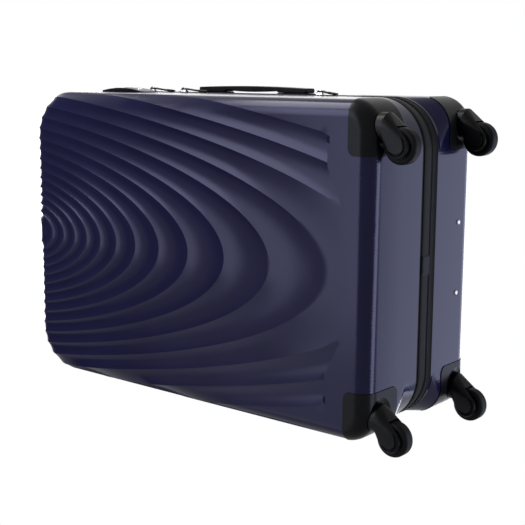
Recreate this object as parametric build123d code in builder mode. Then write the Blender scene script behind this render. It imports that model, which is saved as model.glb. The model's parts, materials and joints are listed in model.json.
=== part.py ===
"""Hard shell suitcase on four swivel casters, standing upright, in millimetres.

+Z is up, the ripple front faces -Y, the carry handle and lock are on +X and the
fabric hinge is on -X.  The origin is on the floor under the middle of the case.
"""

import os
from math import cos, pi, radians, sin, sqrt

from build123d import *

os.makedirs("parts", exist_ok=True)

# Shell
body_width = 480.0
body_height = 700.0
body_depth = 276.0
corner_radius = 75.0
edge_radius = 24.0
wall = 2.5
rim_front_y = -9.0
rim_rear_y = 33.0

# Ripple relief on the front face: rings grow out of the top edge
ring_nose_first = 46.0
ring_nose_growth = (29.3, -0.93, 0.279)
ring_half_first = 38.0
ring_half_growth = (12.8, 0.33)
ring_power = 1.6
closed_bands = range(-1, 11)
open_bands = {11: (600.0, 652.0, 0.3), 12: (652.0, 627.0, 0.0), 13: (627.0, 624.0, 0.0)}
groove_depth_rate = 0.96
groove_depth_power = 0.25
groove_overlap = 0.35
groove_head = 3.0
groove_stations = 6
wrap_length = 12.0
relief_depth = 3.6

# Casters
wheel_radius = 25.0
wheel_width = 20.0
tyre_thickness = 7.0
tyre_corner = 5.0
axle_drop = 27.5
caster_trail = 24.0
swivel_inset_x = 37.0
swivel_inset_y = 31.0
barrel_diameter = 41.0
barrel_sink = 6.0
barrel_show = 10.0
cheek_radius = 17.0
barrel_shoulder = 7.0
fork_width = 34.0
wheel_gap = 1.5
fork_edge = 2.5
axle_diameter = 5.0
axle_cap_diameter = 20.0
axle_cap_height = 0.8
hub_web = 9.0
hub_boss_diameter = 13.0
hub_side_gap = 0.5
pin_diameter = 9.0
pin_reach = 8.0
pin_head_diameter = 16.0
pin_head_height = 3.0
running_clearance = 0.05
slide_clearance = 0.3

# Caster housings
housing_reach = 76.0
housing_height = 40.0
housing_corner = 11.0
housing_proud = 1.2
housing_wall = 3.0
pod_radius = 45.0
pod_straight = 78.0
pod_run = 22.0
pod_height = 120.0
housing_clearance = 0.25
socket_wall = 3.0
socket_ceiling = 4.0
socket_clearance = 1.2
dish_reach = 8.0
dish_depth = 3.0

# Zip band
piping_width = 5.0
rear_piping_width = 4.0
piping_proud = 0.8
piping_thickness = 5.0
tape_inset = 1.0
tape_thickness = 1.2
coil_half_width = 3.0
coil_proud = 0.6
coil_thickness = 2.6
zip_split_y = 19.0
expander_width = 4.0
patch_width = 29.0
patch_proud = 1.2
hinge_proud = 1.6

# Lining
lining_inset = 16.0
lining_thickness = 1.5
lining_gap = 0.4
front_lining_gap = 2.6
rear_lining_gap = 2.0
lip_thickness = 2.0
lip_clearance = 0.3
mouth_setback = 3.0
notch_clearance = 2.0
strap_width = 25.0
strap_thickness = 1.5
strap_spread = 130.0
strap_depth = 8.0

# Trolley
trolley_y = 98.0
tube_spacing = 108.0
outer_tube = (26.0, 15.0)
tube_wall = 1.0
bezel_length = 180.0
bezel_width = 28.0
bezel_depth = 30.0
bezel_wall = 2.0
bezel_floor = 4.0
bezel_flange = 3.0
bezel_flange_height = 2.0
grip_length = 172.0
grip_width = 24.0
grip_height = 22.0
grip_edge = 5.0
collar_height = 6.0
collar_margin = 3.0
grip_lift = 8.0
button_length = 44.0
button_width = 12.0
button_height = 7.0
button_proud = 1.5
button_pocket = 11.0
middle_tube_rise = 25.0
inner_tube_rise = 50.0
bracket_length = 150.0
bracket_width = 26.0
bracket_height = 24.0
bracket_floor = 6.0
rivet_diameter = 4.0
rivet_head_diameter = 7.5
rivet_head_height = 2.2

# Carry handle
handle_offset_z = 12.0
handle_y = 54.0
handle_length = 228.0
handle_width = 24.0
handle_end_height = 9.5
handle_crown_height = 12.0
handle_foot_gap = 0.3
handle_belly_height = 2.6
handle_arch_height = 4.8
handle_block_length = 56.0
handle_edge = 2.5
base_plate_length = 62.0
base_plate_width = 28.0
base_plate_height = 1.8
leg_length = 40.0
leg_width = 12.0
leg_depth = 13.0
well_wall = 1.5
well_depth = 15.0

# Lock
lock_offset_z = 222.0
lock_y = -32.0
lock_length = 100.0
lock_width = 36.0
lock_height = 7.0
lock_end_height = 1.4
lock_edge = 1.2
lock_core_length = 76.0
lock_core_width = 20.0
lock_core_depth = 6.5
dial_diameter = 11.0
dial_width = 5.0
dial_pitch = 6.0
dial_height = 2.1
dial_gap = 0.4
dial_count = 3
dial_shaft_diameter = 2.0
lock_button_size = 9.0
lock_button_offset = 24.0
lock_button_height = 4.0
lock_button_proud = 1.0
lock_button_travel = 1.5
cylinder_diameter = 7.0
cylinder_offset = -27.0
cylinder_height = 6.0
key_slot = (1.4, 4.6)

# Zip sliders
slider_length = 16.0
slider_width = 11.0
slider_height = 2.2
slider_gap = 0.4
expander_slider_width = 8.0
bail_length = 9.0
bail_width = 5.0
bail_height = 5.6
pull_pin_diameter = 2.2
pull_ear = 1.7
pull_length = 52.0
pull_thickness = 2.6
pull_clearance = 0.3
upper_slider_z = 214.0
lower_slider_z = 140.0
expander_slider_z = -140.0

# Levels that follow from the sizes above
axle_z = wheel_radius
body_bottom = wheel_radius + axle_drop
body_top = body_bottom + body_height
body_mid = body_bottom + body_height / 2
half_width = body_width / 2
half_depth = body_depth / 2
panel = wall + relief_depth
front_depth = half_depth + rim_front_y
rear_depth = half_depth - rim_rear_y
swivel_x = half_width - swivel_inset_x
swivel_y = half_depth - swivel_inset_y
barrel_top = body_bottom + barrel_sink
barrel_low = body_bottom - barrel_show
pocket_top = barrel_top + slide_clearance
coil_outer = coil_proud


def save(builder, label):
    """Name a finished piece and write it to its own file."""
    builder.part.label = label
    export_step(builder.part, f"parts/{label}.step")


def face_plane(y):
    """Plane across the depth at y, facing the front, with local y pointing up."""
    return Plane((0, y, body_mid), x_dir=(1, 0, 0), z_dir=(0, -1, 0))


def outline(inset):
    """Rounded outline of the case, moved in by an inset."""
    return RectangleRounded(body_width - 2 * inset, body_height - 2 * inset, corner_radius - inset)


def side_plane(y, z):
    """Plane on the handle side: local x runs up the case, local y runs forward, normal +X."""
    return Plane((half_width, y, z), x_dir=(0, 0, 1), z_dir=(1, 0, 0))


# Ripple grooves
def ring_nose(n):
    """Distance of a ring's nose from the top end."""
    a, b, c = ring_nose_growth
    return ring_nose_first + a * n + b * n**2 + c * n**3


def ring_half(n):
    """Half the spread of a ring where it meets the top end."""
    a, b = ring_half_growth
    return ring_half_first + a * n + b * n**2


def ring_at_angle(n, angle):
    """Point on a ring: distance down from the top end, and distance from the middle line."""
    return ring_nose(n) * max(cos(angle), 0.0) ** ring_power, ring_half(n) * sin(angle)


def ring_at_distance(n, down):
    """Point on a ring at a distance down from the top end."""
    share = (max(down, 0.0) / ring_nose(n)) ** (2 / ring_power)
    return down, ring_half(n) * sqrt(1 - share)


def on_front(down, across):
    """Point and outward normal on the front skin, bent round the top edge rounding."""
    turn = max(edge_radius - down, 0.0) / edge_radius
    flat = max(down - edge_radius, 0.0)
    normal = Vector(0, -cos(turn), sin(turn))
    centre = Vector(across, edge_radius - half_depth, body_top - edge_radius - flat)
    return centre + normal * edge_radius, normal


def groove_section(inner, outer, strength):
    """Plane, half width and depth of a groove between two ring points."""
    start, start_normal = on_front(*inner)
    end, end_normal = on_front(*outer)
    chord = end - start
    normal = (start_normal + end_normal).normalized()
    along = chord.cross(normal).normalized()
    plane = Plane((start + end) * 0.5, x_dir=chord.normalized(), z_dir=along)
    depth = groove_depth_rate * chord.length**groove_depth_power * strength
    return plane, chord.length / 2 + groove_overlap, depth


def groove(sections):
    """Trough cutter lofted through its sections."""
    with BuildPart() as cutter:
        for plane, reach, depth in sections:
            with BuildSketch(plane):
                with BuildLine():
                    ThreePointArc((-reach, 0), (0, -depth), (reach, 0))
                    Polyline((reach, 0), (reach, groove_head), (-reach, groove_head), (-reach, 0))
                make_face()
        loft()
    return cutter.part


def closed_groove(n):
    """Groove between ring n and the next, from one end of the top edge round to the other."""
    sections = []
    for step in range(-groove_stations - 1, groove_stations + 2):
        angle = radians(90) * max(-1.0, min(1.0, step / groove_stations))
        inner = ring_at_angle(n, angle)
        outer = ring_at_angle(n + 1, angle)
        strength = 1.0
        if abs(step) > groove_stations:
            inner = (-wrap_length, inner[1])
            outer = (-wrap_length, outer[1])
            strength = 0.4
        sections.append(groove_section(inner, outer, strength))
    return groove(sections)


def open_groove(n, inner_end, outer_end, fade):
    """Groove that stops at an end wall low on the face instead of closing round a nose."""
    sections = []
    for step in range(groove_stations + 2):
        share = 1 - step / (groove_stations + 1)
        inner = ring_at_distance(n, inner_end * share)
        outer = ring_at_distance(n + 1, outer_end * share)
        strength = 1.0
        if fade:
            strength = min(1.0, 0.12 + (1 - share) / fade)
        sections.append(groove_section(inner, outer, strength))
    return groove(sections)


grooves = [closed_groove(n) for n in closed_bands]
for n, (inner_end, outer_end, fade) in open_bands.items():
    right_groove = open_groove(n, inner_end, outer_end, fade)
    grooves += [right_groove, mirror(right_groove, about=Plane.YZ)]


# Corner blocks: the space that a caster housing takes out of a shell corner
def corner_block(clearance):
    """Block at the lower front right corner with its three inner edges rounded."""
    reach = housing_reach - clearance
    height = housing_height - clearance
    margin = 10.0
    with BuildPart() as block:
        with Locations((half_width - reach, reach - half_depth, body_bottom + height)):
            Box(reach + margin, reach + margin, height + margin, align=(Align.MIN, Align.MAX, Align.MAX))
        upright = block.edges().filter_by(Axis.Z).group_by(Axis.X)[0].sort_by(Axis.Y)[-1]
        across = block.edges().filter_by(Axis.X).group_by(Axis.Z)[-1].sort_by(Axis.Y)[-1]
        deep = block.edges().filter_by(Axis.Y).group_by(Axis.Z)[-1].sort_by(Axis.X)[0]
        fillet([upright, across, deep], housing_corner)
    return block.part


front_right_cut = corner_block(0.0)
front_cuts = [front_right_cut, mirror(front_right_cut, about=Plane.YZ)]
rear_cuts = [mirror(cut, about=Plane.XZ) for cut in front_cuts]
housing_block = corner_block(housing_clearance)

# Pods: the wheel end corners swell from the case's outline to a squarer one round each housing
pod_y = pod_straight - half_depth
with BuildPart() as front_pods:
    with BuildSketch(face_plane(pod_y)):
        RectangleRounded(body_width, body_height, pod_radius)
    extrude(amount=pod_straight)
    fillet(front_pods.faces().sort_by(Axis.Y)[0].edges(), edge_radius)
    with BuildSketch(face_plane(pod_y)):
        RectangleRounded(body_width, body_height, pod_radius)
    with BuildSketch(face_plane(pod_y + pod_run)):
        outline(0)
    loft()
    split(bisect_by=Plane.XY.offset(body_bottom + pod_height), keep=Keep.BOTTOM)
rear_pods = mirror(front_pods.part, about=Plane.XZ)

# Front shell
with BuildPart() as front_cavity:
    with BuildSketch(face_plane(rim_front_y)):
        outline(wall)
    extrude(amount=front_depth - panel)
    fillet(front_cavity.faces().sort_by(Axis.Y)[0].edges(), edge_radius - panel)

with BuildPart() as front_shell:
    with BuildSketch(face_plane(rim_front_y)):
        outline(0)
    extrude(amount=front_depth)
    fillet(front_shell.faces().sort_by(Axis.Y)[0].edges(), edge_radius)
    add(front_pods.part)
    add(front_cavity.part, mode=Mode.SUBTRACT)
    add(grooves, mode=Mode.SUBTRACT)
    add(front_cuts, mode=Mode.SUBTRACT)
    with BuildSketch(side_plane(lock_y, body_mid + lock_offset_z)):
        Rectangle(lock_core_length, lock_core_width)
    extrude(amount=-2 * wall, mode=Mode.SUBTRACT)
with BuildPart() as front_skin:
    add(front_shell.part.solids().sort_by(SortBy.VOLUME)[-1])
save(front_skin, "front_shell")

# Rear shell
handle_z = body_mid + handle_offset_z
well_centre = handle_length / 2 - handle_block_length / 2
well_length = leg_length + 2 * (slide_clearance + well_wall)
well_width = leg_width + 2 * (slide_clearance + well_wall)
tube_places = [(-tube_spacing / 2, trolley_y), (tube_spacing / 2, trolley_y)]
with BuildPart() as rear_cavity:
    with BuildSketch(face_plane(rim_rear_y)):
        outline(wall)
    extrude(amount=wall - rear_depth)
    fillet(rear_cavity.faces().sort_by(Axis.Y)[-1].edges(), edge_radius - wall)

with BuildPart() as rear_shell:
    with BuildSketch(face_plane(rim_rear_y)):
        outline(0)
    extrude(amount=-rear_depth)
    fillet(rear_shell.faces().sort_by(Axis.Y)[-1].edges(), edge_radius)
    add(rear_pods)
    add(rear_cavity.part, mode=Mode.SUBTRACT)
    add(rear_cuts, mode=Mode.SUBTRACT)
    with Locations((0, trolley_y, body_top)):
        Box(bezel_length + 2 * bezel_wall, bezel_width + 2 * bezel_wall, 4 * wall, mode=Mode.SUBTRACT)
    with BuildSketch(Plane.XY.offset(body_bottom)):
        with Locations(*tube_places):
            Circle(rivet_diameter / 2 + running_clearance)
    extrude(amount=2 * wall, mode=Mode.SUBTRACT)
    with BuildSketch(side_plane(handle_y, handle_z)):
        with Locations((-well_centre, 0), (well_centre, 0)):
            Rectangle(well_length, well_width)
    extrude(amount=-2 * wall, mode=Mode.SUBTRACT)
save(rear_shell, "rear_shell")


# Zip band: rings that follow the outline between the two rims
def band_ring(label, y_low, y_high, proud, thickness):
    """Closed ring between two depths, standing proud of the outline by an amount."""
    with BuildPart() as ring:
        with BuildSketch(face_plane(y_high)):
            outline(-proud)
            add(outline_hole(thickness - proud), mode=Mode.SUBTRACT)
        extrude(amount=y_high - y_low)
    save(ring, label)


def outline_hole(inset):
    """Outline sketch kept apart, for cutting the middle out of a ring."""
    width = body_width - 2 * inset
    height = body_height - 2 * inset
    return RectangleRounded(width, height, corner_radius - inset, mode=Mode.PRIVATE)


front_tape_y = rim_front_y + piping_width
rear_piping_y = rim_rear_y - rear_piping_width
expander_y = rear_piping_y - expander_width
band_ring("front_piping", rim_front_y, front_tape_y, piping_proud, piping_thickness)
band_ring("front_zip_tape", front_tape_y, zip_split_y - coil_half_width, -tape_inset, tape_thickness)
band_ring("front_zip_coil", zip_split_y - coil_half_width, zip_split_y, coil_proud, coil_thickness)
band_ring("rear_zip_coil", zip_split_y, zip_split_y + coil_half_width, coil_proud, coil_thickness)
band_ring("rear_zip_tape", zip_split_y + coil_half_width, expander_y, -tape_inset, tape_thickness)
band_ring("expander_coil", expander_y, rear_piping_y, coil_proud, coil_thickness)
band_ring("rear_piping", rear_piping_y, rim_rear_y, piping_proud, piping_thickness)

# Fabric patch sewn on the front tape at the middle of the wheel end
patch_length = zip_split_y - coil_half_width - front_tape_y
with BuildPart() as zip_patch:
    with Locations((0, front_tape_y, body_bottom + tape_inset)):
        Box(
            patch_width,
            patch_length,
            tape_inset + patch_proud,
            align=(Align.CENTER, Align.MIN, Align.MAX),
        )
    fillet(zip_patch.edges().filter_by(Axis.Z), 2.0)
save(zip_patch, "zip_patch")


# Linings
def lining_outline(inset):
    """Outline of a lining, stepped in at the bottom corners to clear the caster housings."""
    grow = inset - lining_inset
    outline(inset)
    for side in (-1, 1):
        notch_x = side * (half_width - housing_reach - notch_clearance - grow)
        notch_y = housing_height + notch_clearance + grow - body_height / 2
        with Locations((notch_x, notch_y)):
            Rectangle(
                body_width,
                body_height,
                align=(Align.MIN if side > 0 else Align.MAX, Align.MAX),
                mode=Mode.SUBTRACT,
            )


inner_inset = lining_inset + lining_thickness
front_mouth_y = rim_front_y + mouth_setback
front_lining_back = panel + front_lining_gap - half_depth
with BuildPart() as front_lining:
    with BuildSketch(face_plane(front_mouth_y)):
        lining_outline(lining_inset)
    extrude(amount=front_mouth_y - front_lining_back)
    with BuildSketch(face_plane(front_mouth_y)):
        outline(piping_thickness - piping_proud + lip_clearance)
    extrude(amount=lip_thickness)
    with BuildSketch(face_plane(front_mouth_y)):
        lining_outline(inner_inset)
    extrude(amount=front_mouth_y - front_lining_back - lining_thickness, mode=Mode.SUBTRACT)
save(front_lining, "front_lining")

rear_mouth_y = rim_rear_y - mouth_setback
rear_lining_back = half_depth - wall - rear_lining_gap
channel_y = trolley_y - bezel_width / 2 - bezel_wall - lining_gap - lining_thickness
channel_width = bezel_length + 2 * (bezel_wall + lining_gap + lining_thickness)
with BuildPart() as rear_lining:
    with BuildSketch(face_plane(rear_mouth_y)):
        lining_outline(lining_inset)
    extrude(amount=rear_mouth_y - rear_lining_back)
    with BuildSketch(face_plane(rear_mouth_y)):
        outline(piping_thickness - piping_proud + lip_clearance)
    extrude(amount=-lip_thickness)
    with BuildSketch(face_plane(rear_mouth_y)):
        lining_outline(inner_inset)
    extrude(amount=rear_mouth_y - rear_lining_back + lining_thickness, mode=Mode.SUBTRACT)
    with Locations((0, channel_y, body_mid)):
        Box(
            channel_width,
            rear_lining_back - channel_y,
            body_height - 2 * lining_inset,
            align=(Align.CENTER, Align.MIN, Align.CENTER),
        )
        with Locations((0, lining_thickness, 0)):
            Box(
                channel_width - 2 * lining_thickness,
                rear_lining_back - channel_y,
                body_height,
                align=(Align.CENTER, Align.MIN, Align.CENTER),
                mode=Mode.SUBTRACT,
            )
save(rear_lining, "rear_lining")

strap_length = body_width - 2 * (inner_inset + lip_clearance)
with BuildPart() as packing_straps:
    with Locations(
        (0, rear_mouth_y + strap_depth, body_mid - strap_spread),
        (0, rear_mouth_y + strap_depth, body_mid + strap_spread),
    ):
        Box(strap_length, strap_thickness, strap_width)
save(packing_straps, "packing_straps")

# Caster housings
socket_radius = barrel_diameter / 2 + socket_clearance
with BuildPart() as housing_cavity:
    with BuildSketch(face_plane(rim_front_y)):
        RectangleRounded(
            body_width - 2 * housing_wall, body_height - 2 * housing_wall, pod_radius - housing_wall
        )
    extrude(amount=front_depth - housing_wall)
    fillet(housing_cavity.faces().sort_by(Axis.Y)[0].edges(), edge_radius - housing_wall)
    with BuildSketch(Plane.XY.offset(body_bottom)):
        with Locations((swivel_x, -swivel_y)):
            Circle(socket_radius + socket_wall)
    extrude(amount=pocket_top + socket_ceiling - body_bottom, mode=Mode.SUBTRACT)

with BuildPart() as right_housing:
    with BuildSketch(face_plane(rim_front_y)):
        RectangleRounded(
            body_width + 2 * housing_proud, body_height + 2 * housing_proud, pod_radius + housing_proud
        )
    extrude(amount=front_depth + housing_proud)
    fillet(right_housing.faces().sort_by(Axis.Y)[0].edges(), edge_radius + housing_proud)
    add(housing_block, mode=Mode.INTERSECT)
    add(housing_cavity.part, mode=Mode.SUBTRACT)
    with BuildSketch(Plane.XY.offset(pocket_top)):
        with Locations((swivel_x, -swivel_y)):
            Circle(socket_radius)
    extrude(amount=-2 * barrel_sink - housing_proud, mode=Mode.SUBTRACT)
    with BuildSketch(Plane.XY.offset(body_bottom - housing_proud)):
        with Locations((swivel_x, -swivel_y)):
            Circle(socket_radius + dish_reach)
    with BuildSketch(Plane.XY.offset(body_bottom - housing_proud + dish_depth)):
        with Locations((swivel_x, -swivel_y)):
            Circle(socket_radius)
    loft(mode=Mode.SUBTRACT)
    with BuildSketch(Plane.XY.offset(pocket_top)):
        with Locations((swivel_x, -swivel_y)):
            Circle(pin_diameter / 2 + running_clearance)
    extrude(amount=2 * socket_ceiling, mode=Mode.SUBTRACT)

housings = {
    "front_right": right_housing.part,
    "front_left": mirror(right_housing.part, about=Plane.YZ),
    "rear_right": mirror(right_housing.part, about=Plane.XZ),
    "rear_left": mirror(mirror(right_housing.part, about=Plane.YZ), about=Plane.XZ),
}
for corner, housing in housings.items():
    housing.label = f"caster_housing_{corner}"
    export_step(housing, f"parts/caster_housing_{corner}.step")

swivel_places = {
    "front_right": (swivel_x, -swivel_y),
    "front_left": (-swivel_x, -swivel_y),
    "rear_right": (swivel_x, swivel_y),
    "rear_left": (-swivel_x, swivel_y),
}


# Swivel pins: one pair per shell half
def swivel_pins(label, places):
    """Flanged pins that hang the forks from their housings."""
    seat = pocket_top + socket_ceiling
    with BuildPart() as pins:
        with BuildSketch(Plane.XY.offset(body_bottom - pin_reach)):
            with Locations(*places):
                Circle(pin_diameter / 2)
        extrude(amount=seat + pin_head_height - body_bottom + pin_reach)
        with BuildSketch(Plane.XY.offset(seat)):
            with Locations(*places):
                Circle(pin_head_diameter / 2)
        extrude(amount=pin_head_height)
    save(pins, label)


swivel_pins("front_swivel_pins", [swivel_places["front_right"], swivel_places["front_left"]])
swivel_pins("rear_swivel_pins", [swivel_places["rear_right"], swivel_places["rear_left"]])


# Casters
def fork(x, y):
    """Barrel head with two teardrop cheeks round the wheel."""
    side = Plane((x, y, 0), x_dir=(1, 0, 0), z_dir=(0, -1, 0))
    pocket_width = wheel_width + 2 * wheel_gap
    with BuildPart() as body:
        with BuildSketch(side):
            with Locations((-caster_trail, axle_z)):
                Circle(cheek_radius)
            with Locations((0, barrel_low)):
                Rectangle(
                    barrel_diameter - 2 * fork_edge,
                    barrel_show - housing_proud - slide_clearance,
                    align=(Align.CENTER, Align.MIN),
                )
            make_hull()
        extrude(amount=fork_width / 2, both=True)
        fillet(body.faces().filter_by(Axis.Y).edges(), fork_edge)
        with BuildSketch(Plane.XY.offset(barrel_low + barrel_shoulder)):
            with Locations((x, y)):
                Circle(barrel_diameter / 2)
        extrude(amount=barrel_top - barrel_low - barrel_shoulder)
        with BuildSketch(Plane.XY.offset(barrel_low)):
            with Locations((x, y)):
                Circle(fork_width / 2 - fork_edge / 2)
        with BuildSketch(Plane.XY.offset(barrel_low + barrel_shoulder)):
            with Locations((x, y)):
                Circle(barrel_diameter / 2)
        loft()
        with BuildSketch(side):
            with Locations((-caster_trail, axle_z)):
                Circle(wheel_radius + wheel_gap)
        extrude(amount=pocket_width / 2, both=True, mode=Mode.SUBTRACT)
        with BuildSketch(side):
            with Locations((-caster_trail, axle_z)):
                Circle(axle_diameter / 2 + running_clearance)
        extrude(amount=fork_width, both=True, mode=Mode.SUBTRACT)
        with BuildSketch(Plane.XY.offset(barrel_top)):
            with Locations((x, y)):
                Circle(pin_diameter / 2 + running_clearance)
        extrude(amount=body_bottom - barrel_top - pin_reach - slide_clearance, mode=Mode.SUBTRACT)
    return body


def axle(x, y):
    """Axle pin with a flat round cap on each cheek."""
    side = Plane((x - caster_trail, y, axle_z), x_dir=(1, 0, 0), z_dir=(0, -1, 0))
    with BuildPart() as body:
        with BuildSketch(side):
            Circle(axle_diameter / 2)
        extrude(amount=fork_width / 2, both=True)
        with BuildSketch(side.offset(fork_width / 2), side.offset(-fork_width / 2 - axle_cap_height)):
            Circle(axle_cap_diameter / 2)
        extrude(amount=axle_cap_height)
    return body


def tyre(x, y):
    """Rounded tread band."""
    centre = (x - caster_trail, y, axle_z)
    with BuildPart() as body:
        with BuildSketch(Plane(centre, x_dir=(0, 1, 0), z_dir=(1, 0, 0))) as section:
            with Locations((0, wheel_radius)):
                Rectangle(wheel_width, tyre_thickness, align=(Align.CENTER, Align.MAX))
            fillet(section.vertices().group_by(Axis.Y)[-1], tyre_corner)
        revolve(axis=Axis(centre, (0, 1, 0)))
    return body


def hub(x, y):
    """Wheel centre with a thin web between boss and rim."""
    centre = (x - caster_trail, y, axle_z)
    rim = wheel_radius - tyre_thickness - running_clearance
    boss_width = wheel_width + 2 * (wheel_gap - hub_side_gap)
    with BuildPart() as body:
        with BuildSketch(Plane(centre, x_dir=(0, 1, 0), z_dir=(1, 0, 0))):
            Rectangle(hub_web, rim, align=(Align.CENTER, Align.MIN))
            Rectangle(boss_width, hub_boss_diameter / 2, align=(Align.CENTER, Align.MIN))
            with Locations((0, rim)):
                Rectangle(wheel_width - tyre_corner, 3.0, align=(Align.CENTER, Align.MAX))
            Rectangle(
                2 * boss_width,
                axle_diameter / 2 + running_clearance,
                align=(Align.CENTER, Align.MIN),
                mode=Mode.SUBTRACT,
            )
        revolve(axis=Axis(centre, (0, 1, 0)))
    return body


for corner, place in swivel_places.items():
    save(fork(*place), f"caster_fork_{corner}")
    save(axle(*place), f"caster_axle_{corner}")
    save(tyre(*place), f"wheel_tyre_{corner}")
    save(hub(*place), f"wheel_hub_{corner}")


# Trolley
def tube_pair(label, size, low, high):
    """Two rectangular tubes side by side."""
    with BuildPart() as tubes:
        with BuildSketch(Plane.XY.offset(low)):
            with Locations(*tube_places):
                Rectangle(*size)
                Rectangle(size[0] - 2 * tube_wall, size[1] - 2 * tube_wall, mode=Mode.SUBTRACT)
        extrude(amount=high - low)
    save(tubes, label)


nest = 2 * (tube_wall + slide_clearance)
middle_tube = (outer_tube[0] - nest, outer_tube[1] - nest)
inner_tube = (middle_tube[0] - nest, middle_tube[1] - nest)
bezel_floor_z = body_top - bezel_depth + bezel_floor
bracket_z = body_bottom + wall
outer_tube_low = bracket_z + bracket_floor
outer_tube_high = body_top - bezel_depth
grip_z = bezel_floor_z + grip_lift
tube_pair("trolley_outer_tubes", outer_tube, outer_tube_low, outer_tube_high)
tube_pair("trolley_middle_tubes", middle_tube, outer_tube_low + middle_tube_rise, bezel_floor_z + collar_height)
tube_pair("trolley_inner_tubes", inner_tube, outer_tube_low + inner_tube_rise, grip_z)

with BuildPart() as trolley_bezel:
    with Locations((0, trolley_y, body_top)):
        Box(
            bezel_length + 2 * bezel_wall,
            bezel_width + 2 * bezel_wall - 2 * running_clearance,
            bezel_depth,
            align=(Align.CENTER, Align.CENTER, Align.MAX),
        )
        Box(
            bezel_length + 2 * (bezel_wall + bezel_flange),
            bezel_width + 2 * bezel_wall,
            bezel_flange_height,
            align=(Align.CENTER, Align.CENTER, Align.MIN),
        )
    fillet(trolley_bezel.faces().sort_by(Axis.Z)[-1].edges(), bezel_flange_height / 2)
    with BuildSketch(Plane.XY.offset(bezel_floor_z)):
        with Locations((0, trolley_y)):
            RectangleRounded(bezel_length, bezel_width, grip_edge)
    extrude(amount=2 * bezel_depth, mode=Mode.SUBTRACT)
    with BuildSketch(Plane.XY.offset(body_top - bezel_depth)):
        with Locations(*tube_places):
            Rectangle(middle_tube[0] + 2 * slide_clearance, middle_tube[1] + 2 * slide_clearance)
    extrude(amount=bezel_floor, mode=Mode.SUBTRACT)
save(trolley_bezel, "trolley_bezel")

with BuildPart() as trolley_foot_bracket:
    with Locations((0, trolley_y, bracket_z)):
        Box(
            bracket_length,
            bracket_width,
            bracket_height,
            align=(Align.CENTER, Align.CENTER, Align.MIN),
        )
    fillet(trolley_foot_bracket.edges().filter_by(Axis.Z), 4.0)
    with BuildSketch(Plane.XY.offset(outer_tube_low)):
        with Locations(*tube_places):
            Rectangle(outer_tube[0] + 2 * running_clearance, outer_tube[1] + 2 * running_clearance)
    extrude(amount=bracket_height, mode=Mode.SUBTRACT)
    with BuildSketch(Plane.XY.offset(bracket_z)):
        with Locations(*tube_places):
            Circle(rivet_diameter / 2 + running_clearance)
    extrude(amount=bracket_floor, mode=Mode.SUBTRACT)
save(trolley_foot_bracket, "trolley_foot_bracket")

with BuildPart() as trolley_rivets:
    with BuildSketch(Plane.XY.offset(body_bottom)):
        with Locations(*tube_places):
            Circle(rivet_head_diameter / 2)
    extrude(amount=-rivet_head_height)
    fillet(trolley_rivets.faces().group_by(Axis.Z)[0].edges(), rivet_head_height * 0.8)
    with BuildSketch(Plane.XY.offset(body_bottom)):
        with Locations(*tube_places):
            Circle(rivet_diameter / 2)
    extrude(amount=wall + bracket_floor)
save(trolley_rivets, "trolley_rivets")

collar_outer = (middle_tube[0] + 2 * collar_margin, middle_tube[1] + 2 * collar_margin)
with BuildPart() as trolley_collars:
    with BuildSketch(Plane.XY.offset(bezel_floor_z)):
        with Locations(*tube_places):
            RectangleRounded(*collar_outer, collar_margin)
            Rectangle(
                middle_tube[0] + 2 * running_clearance,
                middle_tube[1] + 2 * running_clearance,
                mode=Mode.SUBTRACT,
            )
    extrude(amount=collar_height)
save(trolley_collars, "trolley_collars")

with BuildPart() as trolley_grip:
    with BuildSketch(Plane.XY.offset(grip_z)):
        with Locations((0, trolley_y)):
            SlotOverall(grip_length, grip_width)
    extrude(amount=grip_height)
    fillet(trolley_grip.faces().sort_by(Axis.Z)[-1].edges(), grip_edge)
    fillet(trolley_grip.faces().sort_by(Axis.Z)[0].edges(), grip_edge / 2)
    with BuildSketch(Plane.XY.offset(grip_z + grip_height)):
        with Locations((0, trolley_y)):
            SlotOverall(button_length + 2 * slide_clearance, button_width + 2 * slide_clearance)
    extrude(amount=-button_pocket, mode=Mode.SUBTRACT)
save(trolley_grip, "trolley_grip")

with BuildPart() as trolley_button:
    with BuildSketch(Plane.XY.offset(grip_z + grip_height + button_proud)):
        with Locations((0, trolley_y)):
            SlotOverall(button_length, button_width)
    extrude(amount=-button_height)
    fillet(trolley_button.faces().sort_by(Axis.Z)[-1].edges(), 1.2)
save(trolley_button, "trolley_button")

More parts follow.
